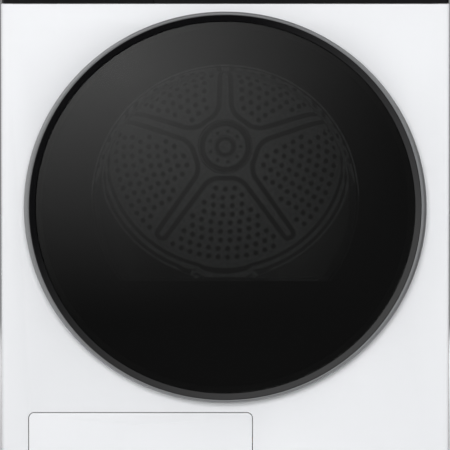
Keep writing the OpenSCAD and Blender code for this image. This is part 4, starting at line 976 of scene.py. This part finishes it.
class DRYER_OT_loading_end(bpy.types.Operator):
    """Build the loading end: bulkhead, felt, lamp, lint filter with its gauze, and duct"""

    bl_idname = "dryer.loading_end"
    bl_label = "Loading End"

    def execute(self, context):
        softened("front_bulkhead", bulkhead_plastic(), width=0.0012, segments=3)
        coat(pressed_felt(), "front_seal")
        coat(lamp_frosted(), "drum_lamp")
        softened("lint_filter", filter_plastic(), width=0.0007)
        make_filter_gauze()
        softened("filter_duct", bulkhead_plastic(), width=0.0008)
        return {"FINISHED"}


class DRYER_OT_drive(bpy.types.Operator):
    """Finish the drive: motor, belt, idler, rollers, blower and bearings"""

    bl_idname = "dryer.drive"
    bl_label = "Drive"

    def execute(self, context):
        coat(black_rubber(), "drive_belt", "roller_left", "roller_right")
        coat(turned_steel(), "roller_pins", "motor_shaft", "idler_spring")
        coat(bearing_bronze(), "rear_bearing")
        coat(satin_black(), "blower_wheel")
        softened("motor_body", cast_aluminium(), width=0.0015, segments=3)
        softened("idler_arm", turned_steel(), width=0.0004)
        softened("idler_pulley", satin_black(), width=0.0004)
        softened("blower_housing", light_moulding(), width=0.001)
        # The rear duct behind the drum's holes is near black: painted shade.
        softened("rear_duct", duct_steel_painted_shade(), width=0.001)
        return {"FINISHED"}


class DRYER_OT_heat_pump(bpy.types.Operator):
    """Finish the heat pump: exchangers, compressor, pipes, duct cover, lid and levers"""

    bl_idname = "dryer.heat_pump"
    bl_label = "Heat Pump"

    def execute(self, context):
        coat(fin_aluminium(), "evaporator", "condenser")
        coat(drawn_copper(), "refrigerant_pipes")
        softened("compressor", black_enamel(), width=0.0012)
        softened("duct_cover", bulkhead_plastic(), width=0.001)
        softened("service_lid", light_moulding(), width=0.001, segments=3)
        softened("lid_lever_left", lever_plastic(), width=0.0009, segments=3)
        softened("lid_lever_right", lever_plastic(), width=0.0009, segments=3)
        return {"FINISHED"}


class DRYER_OT_water(bpy.types.Operator):
    """Finish the water path: tank, tray, pump and hose"""

    bl_idname = "dryer.water"
    bl_label = "Water Path"

    def execute(self, context):
        softened("tank_body", milky_plastic(), width=0.0025, segments=4)
        softened("tank_tray", light_moulding(), width=0.0008)
        softened("condensate_pump", grey_moulding(), width=0.001)
        coat(grey_rubber(), "drain_hose")
        return {"FINISHED"}


# ---------- stage ----------


def front_gradient(tree, across, upward):
    """How bright the studio is straight in front: lit towards the upper left, dark at the right and below."""
    dark_right, dark_foot = 0.185, -0.127
    width, height = 0.27, 0.232
    curve, gain, least = 1.6, 1.15, 0.1
    fall = maths(tree, "MULTIPLY_ADD", across, -1 / width, dark_right / width, clamp=True)
    rise = maths(tree, "MULTIPLY_ADD", upward, 1 / height, -dark_foot / height, clamp=True)
    both = maths(tree, "MULTIPLY", fall, rise)
    return maths(tree, "MULTIPLY_ADD", maths(tree, "POWER", both, curve), gain, least)


def make_studio_light():
    """A plain dim room for light, and a soft gradient for what shines or is seen through glass."""
    room = 0.24
    world = bpy.data.worlds.new("Studio")
    bpy.context.scene.world = world
    world.use_nodes = True
    tree = world.node_tree
    background = tree.nodes["Background"]
    split = add_node(tree, "ShaderNodeSeparateXYZ")
    tree.links.new(add_node(tree, "ShaderNodeTexCoord").outputs["Generated"], split.inputs[0])
    across, along, upward = (split.outputs[axis] for axis in "XYZ")
    front = front_gradient(tree, across, upward)
    lean = maths(tree, "MULTIPLY", maths(tree, "SUBTRACT", upward, across), 0.5)
    broad = maths(tree, "MULTIPLY_ADD", lean, 0.8, 0.34, clamp=True)
    facing = maths(tree, "MULTIPLY_ADD", along, -6.0, -4.9, clamp=True)
    glossy = maths(tree, "ADD", maths(tree, "MULTIPLY", front, facing),
                   maths(tree, "MULTIPLY", broad, maths(tree, "SUBTRACT", 1.0, facing)))
    path = add_node(tree, "ShaderNodeLightPath").outputs
    is_glossy = maths(tree, "MAXIMUM", path["Is Glossy Ray"], path["Is Transmission Ray"])
    strength = maths(tree, "ADD", maths(tree, "MULTIPLY", glossy, is_glossy),
                     maths(tree, "MULTIPLY", maths(tree, "SUBTRACT", 1.0, is_glossy), room))
    tree.links.new(strength, background.inputs["Strength"])
    background.inputs["Color"].default_value = (1.0, 1.0, 1.0, 1.0)


STUDIO_LIGHTS = (
    ("key", (-0.12, -5.6, 1.0), (1.5, 1.1), 196.0),
    ("left", (-3.4, -1.2, 2.0), (2.0, 2.0), 15.0),
    ("right", (3.4, -1.2, 2.0), (2.0, 2.0), 20.0),
    ("back", (0.8, 3.8, 2.2), (2.4, 2.0), 90.0),
)


def area_light(name, place, target, size, power):
    data = bpy.data.lights.new(name, "AREA")
    data.shape = "RECTANGLE"
    data.size, data.size_y = size
    data.energy = power
    light = bpy.data.objects.new(name, data)
    light.location = place
    light.rotation_euler = (Vector(target) - Vector(place)).to_track_quat("-Z", "Y").to_euler()
    bpy.context.scene.collection.objects.link(light)
    return light


def make_camera():
    """A long lens straight in front, at the height of the drum's axis, tipped a little down."""
    seen_width, middle_x, middle_z = 0.602, -0.0003, 0.424
    middle = Vector((middle_x, FRONT_Y, middle_z))
    place = Vector((middle_x, FRONT_Y - sizes().camera_distance, DRUM_CENTRE.z))
    data = bpy.data.cameras.new("Camera")
    data.lens = data.sensor_width * sizes().camera_distance / seen_width
    camera = bpy.data.objects.new("Camera", data)
    camera.location = place
    camera.rotation_euler = (middle - place).to_track_quat("-Z", "Y").to_euler()
    bpy.context.scene.collection.objects.link(camera)
    bpy.context.scene.camera = camera


class DRYER_OT_stage(bpy.types.Operator):
    """Set the floor, the soft studio light and the camera"""

    bl_idname = "dryer.stage"
    bl_label = "Stage"

    def execute(self, context):
        context.scene.view_settings.view_transform = "Standard"
        bm = bmesh.new()
        bmesh.ops.create_circle(bm, cap_ends=True, segments=96, radius=20.0)
        floor = new_piece("floor", bm, finish("Pale floor", shade(0.72), 0.6, drift=0.01))
        floor.visible_glossy = False
        floor.visible_transmission = False
        make_studio_light()
        for name, place, size, power in STUDIO_LIGHTS:
            light = area_light(name, place, (0, 0, 0.5), size, power)
            light.visible_glossy = False
            light.visible_transmission = False
        mouth = (0.0, DRUM_LOW.y - 0.045, DRUM_CENTRE.z - 0.03)
        inside = area_light("drum_light", mouth, (0.0, BACK_LOW.y, DRUM_CENTRE.z), (0.3, 0.26), 0.05)
        inside.visible_camera = False
        make_camera()
        return {"FINISHED"}


# ---------- add-on ----------


class DRYER_PT_panel(bpy.types.Panel):
    """Builds the dryer's looks"""

    bl_label = "Clothes Dryer"
    bl_idname = "DRYER_PT_panel"
    bl_space_type = "VIEW_3D"
    bl_region_type = "UI"
    bl_category = "Dryer"

    def draw(self, context):
        for group in (context.scene.dryer_sizes, context.scene.dryer_colours):
            for field in group.bl_rna.properties:
                if field.identifier not in {"rna_type", "name"}:
                    self.layout.prop(group, field.identifier)
        for operator in OPERATORS:
            self.layout.operator(operator.bl_idname)


OPERATORS = (
    DRYER_OT_stage, DRYER_OT_cabinet, DRYER_OT_controls, DRYER_OT_door, DRYER_OT_drum, DRYER_OT_loading_end,
    DRYER_OT_drive, DRYER_OT_heat_pump, DRYER_OT_water,
)
CLASSES = (DryerSizes, DryerColours, *OPERATORS, DRYER_PT_panel)


def register():
    for entry in CLASSES:
        bpy.utils.register_class(entry)
    bpy.types.Scene.dryer_sizes = bpy.props.PointerProperty(type=DryerSizes)
    bpy.types.Scene.dryer_colours = bpy.props.PointerProperty(type=DryerColours)


def unregister():
    del bpy.types.Scene.dryer_colours
    del bpy.types.Scene.dryer_sizes
    for entry in reversed(CLASSES):
        bpy.utils.unregister_class(entry)


def main():
    register()
    for operator in OPERATORS:
        group, action = operator.bl_idname.split(".")
        result = getattr(getattr(bpy.ops, group), action)()
        if "FINISHED" not in result:
            raise RuntimeError(operator.bl_label + " did not finish")


if __name__ == "__main__":
    main()
